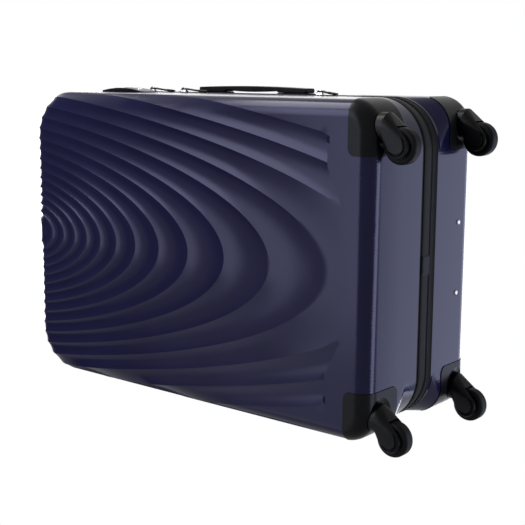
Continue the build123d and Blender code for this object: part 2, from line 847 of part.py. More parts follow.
# Carry handle
handle_foot = base_plate_height + handle_foot_gap
block_edge = handle_length / 2 - handle_block_length
arch_edge = block_edge - handle_arch_height
handle_side = Plane((half_width, handle_y, handle_z), x_dir=(0, 0, 1), z_dir=(0, -1, 0))
with BuildPart() as carry_grip:
    with BuildSketch(Plane((half_width, handle_y, handle_z), x_dir=(1, 0, 0), z_dir=(0, -1, 0))):
        with BuildLine():
            end = handle_length / 2
            ThreePointArc((handle_end_height, -end), (handle_crown_height, 0), (handle_end_height, end))
            Polyline((handle_end_height, end), (handle_foot, end), (handle_foot, block_edge))
            Line((handle_foot, block_edge), (handle_arch_height, arch_edge))
            ThreePointArc(
                (handle_arch_height, arch_edge), (handle_belly_height, 0), (handle_arch_height, -arch_edge)
            )
            Line((handle_arch_height, -arch_edge), (handle_foot, -block_edge))
            Polyline((handle_foot, -block_edge), (handle_foot, -end), (handle_end_height, -end))
        make_face()
    extrude(amount=handle_width / 2, both=True)
    fillet(carry_grip.edges().filter_by(Axis.Y).group_by(Axis.Z)[0], handle_edge)
    fillet(carry_grip.edges().filter_by(Axis.Y).group_by(Axis.Z)[-1], handle_edge)
    fillet(carry_grip.faces().filter_by(Axis.Y).edges(), handle_edge * 0.6)
    with BuildSketch(side_plane(handle_y, handle_z).offset(handle_foot)):
        with Locations((-well_centre, 0), (well_centre, 0)):
            Rectangle(leg_length, leg_width)
    extrude(amount=-leg_depth - handle_foot)
save(carry_grip, "carry_grip")

with BuildPart() as carry_handle_bases:
    with BuildSketch(side_plane(handle_y, handle_z)):
        with Locations((-well_centre, 0), (well_centre, 0)):
            RectangleRounded(base_plate_length, base_plate_width, 5.0)
    extrude(amount=base_plate_height)
    with BuildSketch(side_plane(handle_y, handle_z)):
        with Locations((-well_centre, 0), (well_centre, 0)):
            Rectangle(well_length - 2 * running_clearance, well_width - 2 * running_clearance)
    extrude(amount=-well_depth)
    with BuildSketch(side_plane(handle_y, handle_z).offset(base_plate_height)):
        with Locations((-well_centre, 0), (well_centre, 0)):
            Rectangle(leg_length + 2 * slide_clearance, leg_width + 2 * slide_clearance)
    extrude(amount=well_wall - well_depth - base_plate_height, mode=Mode.SUBTRACT)
save(carry_handle_bases, "carry_handle_bases")

# Lock
lock_z = body_mid + lock_offset_z
lock_plane = side_plane(lock_y, lock_z)
dial_offsets = [(k - (dial_count - 1) / 2) * dial_pitch for k in range(dial_count)]
dial_x = half_width + dial_height
with BuildPart() as lock_body:
    with BuildSketch(Plane((half_width, lock_y, lock_z), x_dir=(1, 0, 0), z_dir=(0, -1, 0))):
        with BuildLine():
            end = lock_length / 2
            ThreePointArc((lock_end_height, -end), (lock_height, 0), (lock_end_height, end))
            Polyline((lock_end_height, end), (0, end), (0, -end), (lock_end_height, -end))
        make_face()
    extrude(amount=lock_width / 2, both=True)
    fillet(lock_body.edges().filter_by(Axis.X), lock_edge * 5)
    with BuildSketch(lock_plane):
        Rectangle(lock_core_length - 2 * running_clearance, lock_core_width - 2 * running_clearance)
    extrude(amount=-lock_core_depth)
    with BuildSketch(Plane((dial_x, lock_y, lock_z), x_dir=(1, 0, 0), z_dir=(0, 0, 1))):
        Circle(dial_diameter / 2 + dial_gap)
    extrude(amount=dial_pitch * dial_count / 2, both=True, mode=Mode.SUBTRACT)
    with BuildSketch(Plane((dial_x, lock_y, lock_z), x_dir=(1, 0, 0), z_dir=(0, 0, 1))):
        Circle(dial_shaft_diameter / 2 + running_clearance)
    extrude(amount=dial_pitch * dial_count / 2 + dial_width, both=True, mode=Mode.SUBTRACT)
    with BuildSketch(lock_plane.offset(lock_height)):
        with Locations((lock_button_offset, 0)):
            Rectangle(lock_button_size + 2 * slide_clearance, lock_button_size + 2 * slide_clearance)
    extrude(amount=-lock_button_height - 2 * lock_button_travel, mode=Mode.SUBTRACT)
    with BuildSketch(lock_plane.offset(lock_height)):
        with Locations((cylinder_offset, 0)):
            Circle(cylinder_diameter / 2 + running_clearance)
    extrude(amount=-cylinder_height - 2 * lock_end_height, mode=Mode.SUBTRACT)
save(lock_body, "lock_body")

with BuildPart() as lock_shaft:
    with BuildSketch(Plane((dial_x, lock_y, lock_z), x_dir=(1, 0, 0), z_dir=(0, 0, 1))):
        Circle(dial_shaft_diameter / 2)
    extrude(amount=dial_pitch * dial_count / 2 + dial_width, both=True)
save(lock_shaft, "lock_shaft")

for number, offset in enumerate(dial_offsets, start=1):
    with BuildPart() as dial:
        with BuildSketch(Plane((dial_x, lock_y, lock_z + offset), x_dir=(1, 0, 0), z_dir=(0, 0, 1))):
            Circle(dial_diameter / 2)
            Circle(dial_shaft_diameter / 2 + running_clearance, mode=Mode.SUBTRACT)
        extrude(amount=dial_width / 2, both=True)
    save(dial, f"lock_dial_{number}")


def lock_rise(offset):
    """Height of the lock's crown above the shell at a distance from its middle."""
    end = lock_length / 2
    rise = lock_height - lock_end_height
    radius = (end**2 + rise**2) / (2 * rise)
    return lock_height - radius + sqrt(radius**2 - offset**2)


with BuildPart() as lock_button:
    with BuildSketch(lock_plane.offset(lock_rise(lock_button_offset) + lock_button_proud)):
        with Locations((lock_button_offset, 0)):
            Rectangle(lock_button_size, lock_button_size)
    extrude(amount=-lock_button_height)
    fillet(lock_button.faces().sort_by(Axis.X)[-1].edges(), 0.6)
save(lock_button, "lock_button")

with BuildPart() as lock_cylinder:
    with BuildSketch(lock_plane.offset(lock_rise(cylinder_offset))):
        with Locations((cylinder_offset, 0)):
            Circle(cylinder_diameter / 2)
    extrude(amount=-cylinder_height)
    with BuildSketch(lock_plane.offset(lock_rise(cylinder_offset))):
        with Locations((cylinder_offset, 0)):
            Rectangle(*key_slot)
    extrude(amount=-cylinder_height / 2, mode=Mode.SUBTRACT)
save(lock_cylinder, "lock_cylinder")


# Zip sliders and their pulls
def zip_slider(label, y, z, width):
    """Slider plate with a bail bored for the pull's pin."""
    base = half_width + coil_proud + slider_gap
    plane = Plane((base, y, z), x_dir=(0, 0, 1), z_dir=(1, 0, 0))
    bore = base + slider_height + bail_height / 2
    with BuildPart() as slider:
        with BuildSketch(plane):
            RectangleRounded(slider_length, width, 3.0)
        extrude(amount=slider_height)
        fillet(slider.faces().sort_by(Axis.X)[-1].edges(), 0.8)
        with BuildSketch(plane):
            Rectangle(bail_length, bail_width)
        extrude(amount=slider_height + bail_height)
        fillet(slider.edges().filter_by(Axis.Y).group_by(Axis.X)[-1], bail_height / 2)
        with BuildSketch(Plane((bore, y, z), x_dir=(1, 0, 0), z_dir=(0, -1, 0))):
            Circle(pull_pin_diameter / 2 + running_clearance)
        extrude(amount=bail_width, both=True, mode=Mode.SUBTRACT)
    save(slider, label)


def zip_pull(label, y, z):
    """Flat pull that hangs from its slider on a pin between two ears."""
    base = half_width + coil_proud + slider_gap
    bore = base + slider_height + bail_height / 2
    gap = bail_width / 2 + pull_clearance
    start = bail_length / 2 + 2 * pull_clearance
    with BuildPart() as pull:
        with BuildSketch(Plane((bore, y, z), x_dir=(0, 0, 1), z_dir=(1, 0, 0))):
            with Locations((pull_thickness / 2, 0)):
                Rectangle(pull_length, 2 * (gap + pull_ear), align=(Align.MAX, Align.CENTER))
            with Locations((-start, 0)):
                Rectangle(pull_length, 2 * gap, align=(Align.MIN, Align.CENTER), mode=Mode.SUBTRACT)
        extrude(amount=pull_thickness / 2, both=True)
        fillet(pull.edges().filter_by(Axis.X).group_by(Axis.Z)[0], 2.5)
        with BuildSketch(Plane((bore, y, z), x_dir=(1, 0, 0), z_dir=(0, -1, 0))):
            Circle(pull_pin_diameter / 2)
        extrude(amount=gap, both=True)
    save(pull, label)


expander_mid_y = expander_y + expander_width / 2
sliders = {
    "upper": (zip_split_y, body_mid + upper_slider_z, slider_width),
    "lower": (zip_split_y, body_mid + lower_slider_z, slider_width),
    "expander": (expander_mid_y, body_mid + expander_slider_z, expander_slider_width),
}
for name, (y, z, width) in sliders.items():
    zip_slider(f"zip_slider_{name}", y, z, width)
    zip_pull(f"zip_pull_{name}", y, z)
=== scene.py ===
import json
from math import copysign, cos, pi, radians, sin, sqrt

import bmesh
import bpy
import numpy as np
from mathutils import Matrix, Vector
from mathutils.geometry import delaunay_2d_cdt
from mathutils.kdtree import KDTree


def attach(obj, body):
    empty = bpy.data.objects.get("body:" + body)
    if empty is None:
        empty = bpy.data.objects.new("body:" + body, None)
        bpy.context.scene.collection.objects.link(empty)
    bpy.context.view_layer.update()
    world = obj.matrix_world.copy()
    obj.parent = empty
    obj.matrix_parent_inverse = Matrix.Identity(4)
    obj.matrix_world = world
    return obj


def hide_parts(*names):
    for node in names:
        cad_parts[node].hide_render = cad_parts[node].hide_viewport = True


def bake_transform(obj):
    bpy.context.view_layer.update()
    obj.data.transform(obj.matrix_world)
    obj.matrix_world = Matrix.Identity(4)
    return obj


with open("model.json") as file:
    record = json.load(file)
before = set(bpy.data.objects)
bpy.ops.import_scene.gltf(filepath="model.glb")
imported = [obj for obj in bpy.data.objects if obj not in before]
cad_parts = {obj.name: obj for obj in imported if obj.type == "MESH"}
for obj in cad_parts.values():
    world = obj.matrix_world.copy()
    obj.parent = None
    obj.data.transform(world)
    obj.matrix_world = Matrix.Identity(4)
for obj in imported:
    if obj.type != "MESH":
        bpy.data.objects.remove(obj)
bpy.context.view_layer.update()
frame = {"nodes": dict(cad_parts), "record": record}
nodes = frame["nodes"]

# Sizes of the case in millimetres, as in the part's source
WIDTH = 480.0
HEIGHT = 700.0
DEPTH = 276.0
CORNER = 75.0
POD_CORNER = 45.0
EDGE = 24.0
WALL = 2.5
BOTTOM = 52.5
TOP = BOTTOM + HEIGHT
MID = BOTTOM + HEIGHT / 2
SIDE = WIDTH / 2
FRONT = -DEPTH / 2
RIM_FRONT = -9.0
MM = 0.001


# Materials
def principled(mat):
    return mat.node_tree.nodes["Principled BSDF"]


def material(name, colour, rough, spec=0.5, metal=0.0):
    """New material with one shader, its colour and gloss set on the shader's own sockets."""
    mat = bpy.data.materials.new(name)
    mat.use_nodes = True
    shader = principled(mat)
    shader.inputs["Base Color"].default_value = (*colour, 1)
    shader.inputs["Roughness"].default_value = rough
    shader.inputs["Specular IOR Level"].default_value = spec
    shader.inputs["Metallic"].default_value = metal
    return mat


def add_node(owner, kind, links=None, **values):
    """Add a node, set its inputs by name and link sockets given as (node, output)."""
    tree = owner.node_tree
    node = tree.nodes.new(kind)
    for key, value in values.items():
        if key in node.inputs:
            node.inputs[key].default_value = value
        else:
            setattr(node, key, value)
    for key, (source, output) in (links or {}).items():
        tree.links.new(source.outputs[output], node.inputs[key])
    return node


def place(mat, scale=(1, 1, 1), rotation=(0, 0, 0)):
    """Object coordinates in metres, turned and scaled."""
    coords = add_node(mat, "ShaderNodeTexCoord")
    return add_node(mat, "ShaderNodeMapping", {"Vector": (coords, "Object")}, Scale=scale, Rotation=rotation)


def noise(mat, scale, detail, stretch=(1, 1, 1)):
    """Cloudy texture."""
    links = {"Vector": (place(mat, stretch), "Vector")}
    return add_node(mat, "ShaderNodeTexNoise", links, Scale=scale, Detail=detail)


def wave(mat, direction, scale, rotation=(0, 0, 0)):
    """Texture of parallel bands."""
    links = {"Vector": (place(mat, rotation=rotation), "Vector")}
    return add_node(mat, "ShaderNodeTexWave", links, bands_direction=direction, Scale=scale)


def tint(mat, source, low, high, start=0.35, stop=0.65):
    """Colour that follows a texture between two values."""
    ramp = add_node(mat, "ShaderNodeValToRGB", {"Fac": (source, "Fac")})
    for element, spot, colour in zip(ramp.color_ramp.elements, (start, stop), (low, high)):
        element.position = spot
        element.color = (*colour, 1)
    mat.node_tree.links.new(ramp.outputs["Color"], principled(mat).inputs["Base Color"])


def vary_roughness(mat, source, low, high):
    """Roughness that follows a texture between two values."""
    spread = add_node(mat, "ShaderNodeMapRange", {"Value": (source, "Fac")})
    spread.inputs["To Min"].default_value = low
    spread.inputs["To Max"].default_value = high
    mat.node_tree.links.new(spread.outputs["Result"], principled(mat).inputs["Roughness"])


def bump(mat, layers):
    """Chain of bumps: each layer is (source node, strength, depth in metres)."""
    last = None
    for source, strength, distance in layers:
        links = {"Height": (source, "Fac")}
        if last:
            links["Normal"] = (last, "Normal")
        last = add_node(mat, "ShaderNodeBump", links, Strength=strength, Distance=distance)
    mat.node_tree.links.new(last.outputs["Normal"], principled(mat).inputs["Normal"])


def shell_material():
    """Satin moulded plastic with a fine crossed hatch and slight cloudiness."""
    hatch_scale, hatch, depth = 90.0, 0.14, 0.0002
    mat = material("shell_satin", (0.0042, 0.0039, 0.0175), 0.18, 0.13)
    principled(mat).inputs["Specular Tint"].default_value = (0.76, 0.74, 1.0, 1.0)
    diagonal = (0, radians(45), 0)
    one = wave(mat, "X", hatch_scale, diagonal)
    two = wave(mat, "Z", hatch_scale, diagonal)
    cloud = noise(mat, 9.0, 4.0)
    grain = noise(mat, 900.0, 2.0)
    tint(mat, cloud, (0.0038, 0.0035, 0.0160), (0.0048, 0.0044, 0.0190))
    vary_roughness(mat, cloud, 0.155, 0.20)
    bump(mat, [(one, hatch, depth), (two, hatch, depth), (grain, 0.06, depth)])
    return mat


def plastic_material(name, low, high, rough, grain_size, strength, spec):
    """Textured moulded plastic: fine spark grain, colour and roughness drifting a little."""
    mat = material(name, low, rough, spec)
    cloud = noise(mat, 30.0, 3.0)
    grain = noise(mat, grain_size, 2.0)
    tint(mat, cloud, low, high)
    vary_roughness(mat, cloud, rough - 0.05, rough + 0.08)
    bump(mat, [(grain, strength, 0.0003)])
    return mat


def weave_material(name, low, high, pitch):
    """Woven fabric: two crossed sets of threads and a little fuzz."""
    mat = material(name, low, 0.85, 0.1)
    threads = pi / (20 * pitch * MM)
    warp = wave(mat, "Y", threads)
    weft = wave(mat, "DIAGONAL", threads)
    fuzz = noise(mat, 600.0, 4.0)
    tint(mat, weft, low, high, 0.2, 0.8)
    bump(mat, [(warp, 0.35, 0.0004), (weft, 0.35, 0.0004), (fuzz, 0.25, 0.0003)])
    principled(mat).inputs["Sheen Weight"].default_value = 0.04
    return mat


def metal_material(name, low, high, rough, stretch=(1, 1, 1)):
    """Plated or drawn metal with fine streaks."""
    mat = material(name, low, rough, 0.5, 1.0)
    streak = noise(mat, 300.0, 4.0, stretch)
    tint(mat, streak, low, high)
    vary_roughness(mat, streak, rough - 0.06, rough + 0.1)
    bump(mat, [(streak, 0.06, 0.0001)])
    return mat


# Darkest and lightest colour, roughness, size and strength of the grain, and shine
PLASTICS = {
    "black_plastic": ((0.0030, 0.0030, 0.0033), (0.0048, 0.0048, 0.0052), 0.27, 1400.0, 0.10, 0.05),
    "hub_plastic": ((0.006, 0.006, 0.0065), (0.009, 0.009, 0.0095), 0.45, 1400.0, 0.2, 0.08),
    "wheel_rubber": ((0.0030, 0.0030, 0.0033), (0.0048, 0.0048, 0.0052), 0.5, 700.0, 0.35, 0.04),
    "piping": ((0.0030, 0.0030, 0.0033), (0.0050, 0.0050, 0.0053), 0.55, 900.0, 0.25, 0.05),
    "coil": ((0.0040, 0.0040, 0.0045), (0.0065, 0.0065, 0.0070), 0.4, 1400.0, 0.2, 0.08),
    "lock_grey": ((0.020, 0.020, 0.022), (0.030, 0.030, 0.032), 0.35, 1400.0, 0.15, 0.2),
}
# Darkest and lightest colour, and the pitch of the threads in millimetres
WEAVES = {
    "tape_fabric": ((0.0065, 0.0065, 0.0058), (0.0140, 0.0140, 0.0125), 0.9),
    "lining_fabric": ((0.10, 0.10, 0.115), (0.145, 0.145, 0.16), 0.6),
    "strap_fabric": ((0.012, 0.012, 0.014), (0.022, 0.022, 0.025), 1.2),
}
# Darkest and lightest colour, roughness and the stretch of the streaks
METALS = {
    "tube_aluminium": ((0.60, 0.60, 0.62), (0.70, 0.70, 0.72), 0.32, (1, 1, 0.02)),
    "steel": ((0.30, 0.30, 0.32), (0.38, 0.38, 0.40), 0.42),
    "zip_metal": ((0.62, 0.62, 0.63), (0.74, 0.74, 0.75), 0.22),
}
BY_SLOT = {"shell": shell_material()}
for make, rows in ((plastic_material, PLASTICS), (weave_material, WEAVES), (metal_material, METALS)):
    for slot_name, row in rows.items():
        BY_SLOT[slot_name] = make(slot_name, *row)
for entry in frame["record"]["subparts"]:
    holder = nodes[entry["node"]].data
    holder.materials.clear()
    holder.materials.append(BY_SLOT[entry["material_slot"]])


# Forms: a list of points in millimetres and a list of faces
def tube_faces(rings, size, closed=False):
    """Faces between neighbouring rings of points; closed joins the last ring to the first."""
    faces = []
    for ring in range(rings if closed else rings - 1):
        a = ring * size
        b = (ring + 1) % rings * size
        for k in range(size):
            j = (k + 1) % size
            faces.append((a + k, a + j, b + j, b + k))
    return faces


def flipped(faces):
    """Faces turned over, each from the same first point."""
    return [f[:1] + f[:0:-1] for f in faces]


def loft(sections):
    """Closed skin through loops of equal length, capped at both ends."""
    size = len(sections[0])
    total = len(sections) * size
    caps = [tuple(reversed(range(size))), tuple(range(total - size, total))]
    return [p for section in sections for p in section], caps + tube_faces(len(sections), size)


def joined(forms):
    """Several forms as one."""
    verts = []
    faces = []
    for form_verts, form_faces in forms:
        first = len(verts)
        verts.extend(form_verts)
        faces.extend(tuple(first + i for i in f) for f in form_faces)
    return verts, faces


def moved(form, spot):
    """Form with each point carried to the spot that a function gives for it."""
    return [spot(*v) for v in form[0]], form[1]


def sheet_form(top, low, wide):
    """Closed sheet from two grids of points, with so many points a row, joined round their edges."""
    total = len(top)
    count = total // wide
    faces = []
    for i in range(count - 1):
        for j in range(wide - 1):
            a, b = i * wide + j, (i + 1) * wide + j
            faces.append((a, a + 1, b + 1, b))
            faces.append((total + a, total + b, total + b + 1, total + a + 1))
    rim = [i * wide for i in range(count)]
    rim += [(count - 1) * wide + j for j in range(1, wide)]
    rim += [i * wide + wide - 1 for i in range(count - 2, -1, -1)]
    rim += list(range(wide - 2, 0, -1))
    faces += [(a, b, total + b, total + a) for a, b in zip(rim, rim[1:] + rim[:1])]
    return top + low, faces


def circle(radius, steps):
    """Points round a circle."""
    return [(radius * cos(2 * pi * k / steps), radius * sin(2 * pi * k / steps)) for k in range(steps)]


def squircle(a, b, power, steps=28):
    """Rounded rectangle as a superellipse."""
    bend = 2 / power
    return [
        (copysign(a * abs(c) ** bend, c), copysign(b * abs(s) ** bend, s)) for c, s in circle(1.0, steps)
    ]


def capsule(length, wide, tall, sides=6):
    """Small rounded bar along its first axis."""
    ends = ((-0.5, 0.5), (-0.36, 1.0), (0.36, 1.0), (0.5, 0.5))
    return loft([
        [(along * length, c * wide / 2 * grow, s * tall / 2 * grow) for c, s in circle(1.0, sides)]
        for along, grow in ends
    ])


# Pieces
def link(name, data):
    """New object in the scene."""
    obj = bpy.data.objects.new(name, data)
    bpy.context.scene.collection.objects.link(obj)
    return obj


def skin(name, form, slot_name, smooth=True):
    """Mesh of a form in the material of its slot."""
    verts, faces = form
    mesh = bpy.data.meshes.new(name)
    mesh.from_pydata([tuple(c * MM for c in v) for v in verts], [], faces)
    mesh.validate()
    mesh.materials.append(BY_SLOT[slot_name])
    if smooth:
        mesh.shade_smooth()
    return mesh


def mount(name, mesh, body, stands_for=()):
    """Mesh as a piece that rides on a body and the nodes that it stands for."""
    obj = link(name, mesh)
    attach(obj, body)
    if stands_for:
        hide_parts(*stands_for)
    return obj


def piece(name, form, body, slot_name, stands_for=(), smooth=True):
    """Form as a piece that rides on a body."""
    return mount(name, skin(name, form, slot_name, smooth), body, stands_for)


def crease(mesh, degrees):
    """Show the edges that turn by more than an angle as sharp."""
    mesh.set_sharp_from_angle(angle=radians(degrees))


def outward(mesh, weld=0.0):
    """Turn a closed mesh's faces outward, with points closer than the weld distance joined first."""
    form = bmesh.new()
    form.from_mesh(mesh)
    if weld:
        bmesh.ops.remove_doubles(form, verts=form.verts, dist=weld)
    bmesh.ops.recalc_face_normals(form, faces=form.faces)
    form.to_mesh(mesh)
    form.free()


def solid_from(form, name):
    """Scratch object from a bmesh, for cutting and joining."""
    mesh = bpy.data.meshes.new(name)
    form.to_mesh(mesh)
    form.free()
    return link(name, mesh)


def combine(base, others):
    """Mesh of a base with other objects added or cut, given as (object, operation)."""
    for other, operation in others:
        step = base.modifiers.new(operation, "BOOLEAN")
        step.operation = operation
        step.solver = "EXACT"
        step.object = other
    bpy.context.view_layer.update()
    mesh = bpy.data.meshes.new_from_object(base.evaluated_get(bpy.context.evaluated_depsgraph_get()))
    for obj in [base] + [other for other, _ in others]:
        bpy.data.objects.remove(obj)
    return mesh


# Outline of the case: points on the top, on each corner, on each side and on the bottom
OUTLINE_STEPS = (120, 24, 110, 60)


def outline_points(inset, low_corner):
    """Points round the case's outline, clockwise from the top left as the front shows it."""
    top_n, corner_n, side_n, bottom_n = OUTLINE_STEPS
    half = SIDE - inset
    high = TOP - inset
    low = BOTTOM + inset
    rt = CORNER - inset
    rb = low_corner - inset
    runs = (
        ((rt - half, high), (half - rt, high), top_n, (half - rt, high - rt), rt, pi / 2),
        ((half, high - rt), (half, low + rb), side_n, (half - rb, low + rb), rb, 0.0),
        ((half - rb, low), (rb - half, low), bottom_n, (rb - half, low + rb), rb, -pi / 2),
        ((-half, low + rb), (-half, high - rt), side_n, (rt - half, high - rt), rt, pi),
    )
    points = []
    for (xa, za), (xb, zb), count, (cx, cz), radius, first in runs:
        points += [(xa + (xb - xa) * k / count, za + (zb - za) * k / count) for k in range(count)]
        turn = [first - pi / 2 * k / corner_n for k in range(corner_n)]
        points += [(cx + radius * cos(a), cz + radius * sin(a)) for a in turn]
    return points


# Ripple relief of the front shell, with its rings numbered outwards from the middle of the top end
FIRST_RING = -1
LAST_RING = 13
RING_POWER = 1.25
TROUGH_DEPTH = 0.96
# Ends of the last two troughs: distance down from the top end and from the middle line
TROUGH_ENDS = ((652, 94), (627, 145), (624, 178))
# Where the trough before them has faded out, and the length that it fades over
FADE_END = 650.0
FADE_RUN = 195.0


def ring_nose(p):
    """How far a ring reaches down from the top end."""
    return 46.0 + 29.3 * p - 0.93 * p**2 + 0.279 * p**3


def ring_half(p):
    """Half the width of a ring at the top end."""
    return 38.0 + 12.8 * p + 0.33 * p**2


def ring_number(u, v):
    """Ring number, whole and part, at a point u down from the top end and v from the middle line."""
    u = np.maximum(u, 0.0)
    low = np.full_like(u, -1.35)
    high = np.full_like(u, 20.0)
    for _ in range(40):
        mid = (low + high) / 2
        outside = (u / ring_nose(mid)) ** RING_POWER + (v / ring_half(mid)) ** 2 > 1
        low = np.where(outside, mid, low)
        high = np.where(outside, high, mid)
    return (low + high) / 2


def end_line(first, side):
    """Where a trough ends, on the line through two end points, at a distance from the middle line."""
    (ua, va), (ub, vb) = TROUGH_ENDS[first:first + 2]
    return ua + (side - va) * (ub - ua) / (vb - va)


def relief(u, v):
    """Depth of the ripple below the skin, in millimetres."""
    p = ring_number(u, v)
    n = np.floor(p)
    t = p - n
    across = np.clip(v / ring_half(p), -1, 1)
    along = np.sqrt(1 - across**2) ** (2 / RING_POWER)
    width = np.hypot((ring_nose(n + 1) - ring_nose(n)) * along, (ring_half(n + 1) - ring_half(n)) * across)
    depth = TROUGH_DEPTH * width**0.25 * 4 * t * (1 - t)
    side = np.abs(v)
    depth = np.where(n == LAST_RING - 2, depth * np.clip((FADE_END - u) / FADE_RUN, 0, 1), depth)
    depth = np.where((n == LAST_RING - 1) & (u > end_line(0, side)), 0, depth)
    depth = np.where((n == LAST_RING) & (u > end_line(1, side)), 0, depth)
    return np.where((n < FIRST_RING) | (n > LAST_RING), 0, depth)


def skin_frame(x, z):
    """Inset from the outline and outward direction at points of the front view."""
    radius = np.where(z > MID, CORNER, POD_CORNER)
    qx = np.abs(x) - (SIDE - radius)
    qz = np.abs(z - MID) - (HEIGHT / 2 - radius)
    outer = np.hypot(np.maximum(qx, 0), np.maximum(qz, 0))
    inset = radius - outer - np.minimum(np.maximum(qx, qz), 0)
    corner = (qx > 0) & (qz > 0)
    safe = np.maximum(outer, 1e-6)
    dx = np.where(corner, np.maximum(qx, 0) / safe, np.where(qx > qz, 1.0, 0.0)) * np.sign(x)
    dz = np.where(corner, np.maximum(qz, 0) / safe, np.where(qx > qz, 0.0, 1.0)) * np.sign(z - MID)
    return inset, dx, dz


def front_skin(x, z):
    """Points of the front skin with its edge rounding and ripple, which fades out towards the side walls."""
    inset, dx, dz = skin_frame(x, z)
    lean = np.arcsin(np.clip((EDGE - inset) / EDGE, 0, 1))
    back = np.maximum(EDGE - inset, 0)
    u = TOP - (z + dz * (EDGE * lean - back))
    v = x + dx * (EDGE * lean - back)
    depth = relief(u, v) * np.clip((1.5 - lean) / 0.5, 0, 1)
    y = FRONT + EDGE - EDGE * np.cos(lean) + depth * np.cos(lean)
    return np.stack([x - depth * np.sin(lean) * dx, y, z - depth * np.sin(lean) * dz], -1)


def front_view(us, vs):
    """Front view of points measured along the skin, and which of them lie well inside the border."""
    border_gap = 3.2
    x = np.array(vs)
    z = TOP - us
    inset, dx, dz = skin_frame(x, z)
    arc = EDGE - inset
    lean = np.clip(arc / EDGE, 0, pi / 2)
    shift = np.where(arc > 0, arc - EDGE * np.sin(lean), 0)
    x = x - dx * shift
    z = z - dz * shift
    return x, z, skin_frame(x, z)[0] > border_gap


def ripple_curves():
    """Curves along the rings in the front view: the ridge lines, and the curves between them."""
    ridges = []
    between = []
    fine = np.linspace(-pi / 2, pi / 2, 2400)
    for n in range(FIRST_RING, LAST_RING + 2):
        for share in (0.0, 0.06, 0.2, 0.36, 0.5, 0.64, 0.8, 0.94):
            p = n + share
            if p > LAST_RING + 1:
                continue
            u = ring_nose(p) * np.maximum(np.cos(fine), 0) ** (2 / RING_POWER)
            v = ring_half(p) * np.sin(fine)
            run = np.concatenate([[0], np.cumsum(np.hypot(np.diff(u), np.diff(v)))])
            step = 3.5 + 0.25 * max(n, 0)
            want = np.linspace(0, run[-1], max(8, int(run[-1] / step)))
            curve = front_view(np.interp(want, run, u), np.interp(want, run, v))
            (between if share else ridges).append(curve)
    return ridges, between


def front_points():
    """Front view points for the skin's mesh, the border first, and the edges that the mesh keeps."""
    border = outline_points(2.0, POD_CORNER)
    points = [Vector(p) for p in border]
    edges = [(k, (k + 1) % len(border)) for k in range(len(border))]

    def add_chain(x, z, inside):
        last = None
        for spot in zip(x, z, inside):
            if not spot[2]:
                last = None
                continue
            points.append(Vector(spot[:2]))
            if last is not None:
                edges.append((last, len(points) - 1))
            last = len(points) - 1

    def add_loose(candidates, gap):
        tree = KDTree(len(points))
        for k, p in enumerate(points):
            tree.insert((*p, 0), k)
        tree.balance()
        points.extend([Vector(c) for c in candidates if tree.find((*c, 0))[2] > gap])

    ridges, between = ripple_curves()
    for curve in ridges:
        add_chain(*curve)
    share = np.linspace(0, 1, 13)
    for (ua, va), (ub, vb) in zip(TROUGH_ENDS, TROUGH_ENDS[1:]):
        v = va + (vb - va) * share
        u = ua + (ub - ua) * share
        for side in (-1, 1):
            for offset in (-0.1, 0.9):
                add_chain(side * v, TOP - u - offset, share >= 0)
    for x, z, inside in between:
        add_loose(zip(x[inside], z[inside]), 0.45)
    for inset in (3.5, 5.0, 7.0, 9.4, 12.0, 14.8, 17.8, 20.9, 24.0):
        add_loose(outline_points(inset, POD_CORNER), 1.2)
    columns = np.arange(-220, 221, 11.0)
    rows = np.arange(BOTTOM + 25, TOP - 20, 11.0)
    add_loose([(x, z) for x in columns for z in rows], 6.0)
    return points, edges, len(border)


def corner_cutter(side):
    """Seat of a front caster housing: a block with its inner edges rounded."""
    seat, tall, spare, bend = 76.0, 40.0, 12.0, 11.0
    form = bmesh.new()
    bmesh.ops.create_cube(form, size=1.0)
    low = Vector((SIDE - seat, FRONT - spare, BOTTOM - spare)) * MM
    high = Vector((SIDE + spare, FRONT + seat, BOTTOM + tall)) * MM
    for v in form.verts:
        v.co = Vector([high[i] if v.co[i] > 0 else low[i] for i in range(3)])
    inner = Vector((low.x, high.y, high.z))
    corner = min(form.verts, key=lambda v: (v.co - inner).length)
    edges = list(corner.link_edges)
    bmesh.ops.bevel(form, geom=edges, offset=bend * MM, segments=10, profile=0.5, affect="EDGES")
    if side < 0:
        for v in form.verts:
            v.co.x = -v.co.x
        bmesh.ops.reverse_faces(form, faces=form.faces)
    return solid_from(form, "corner_cutter")


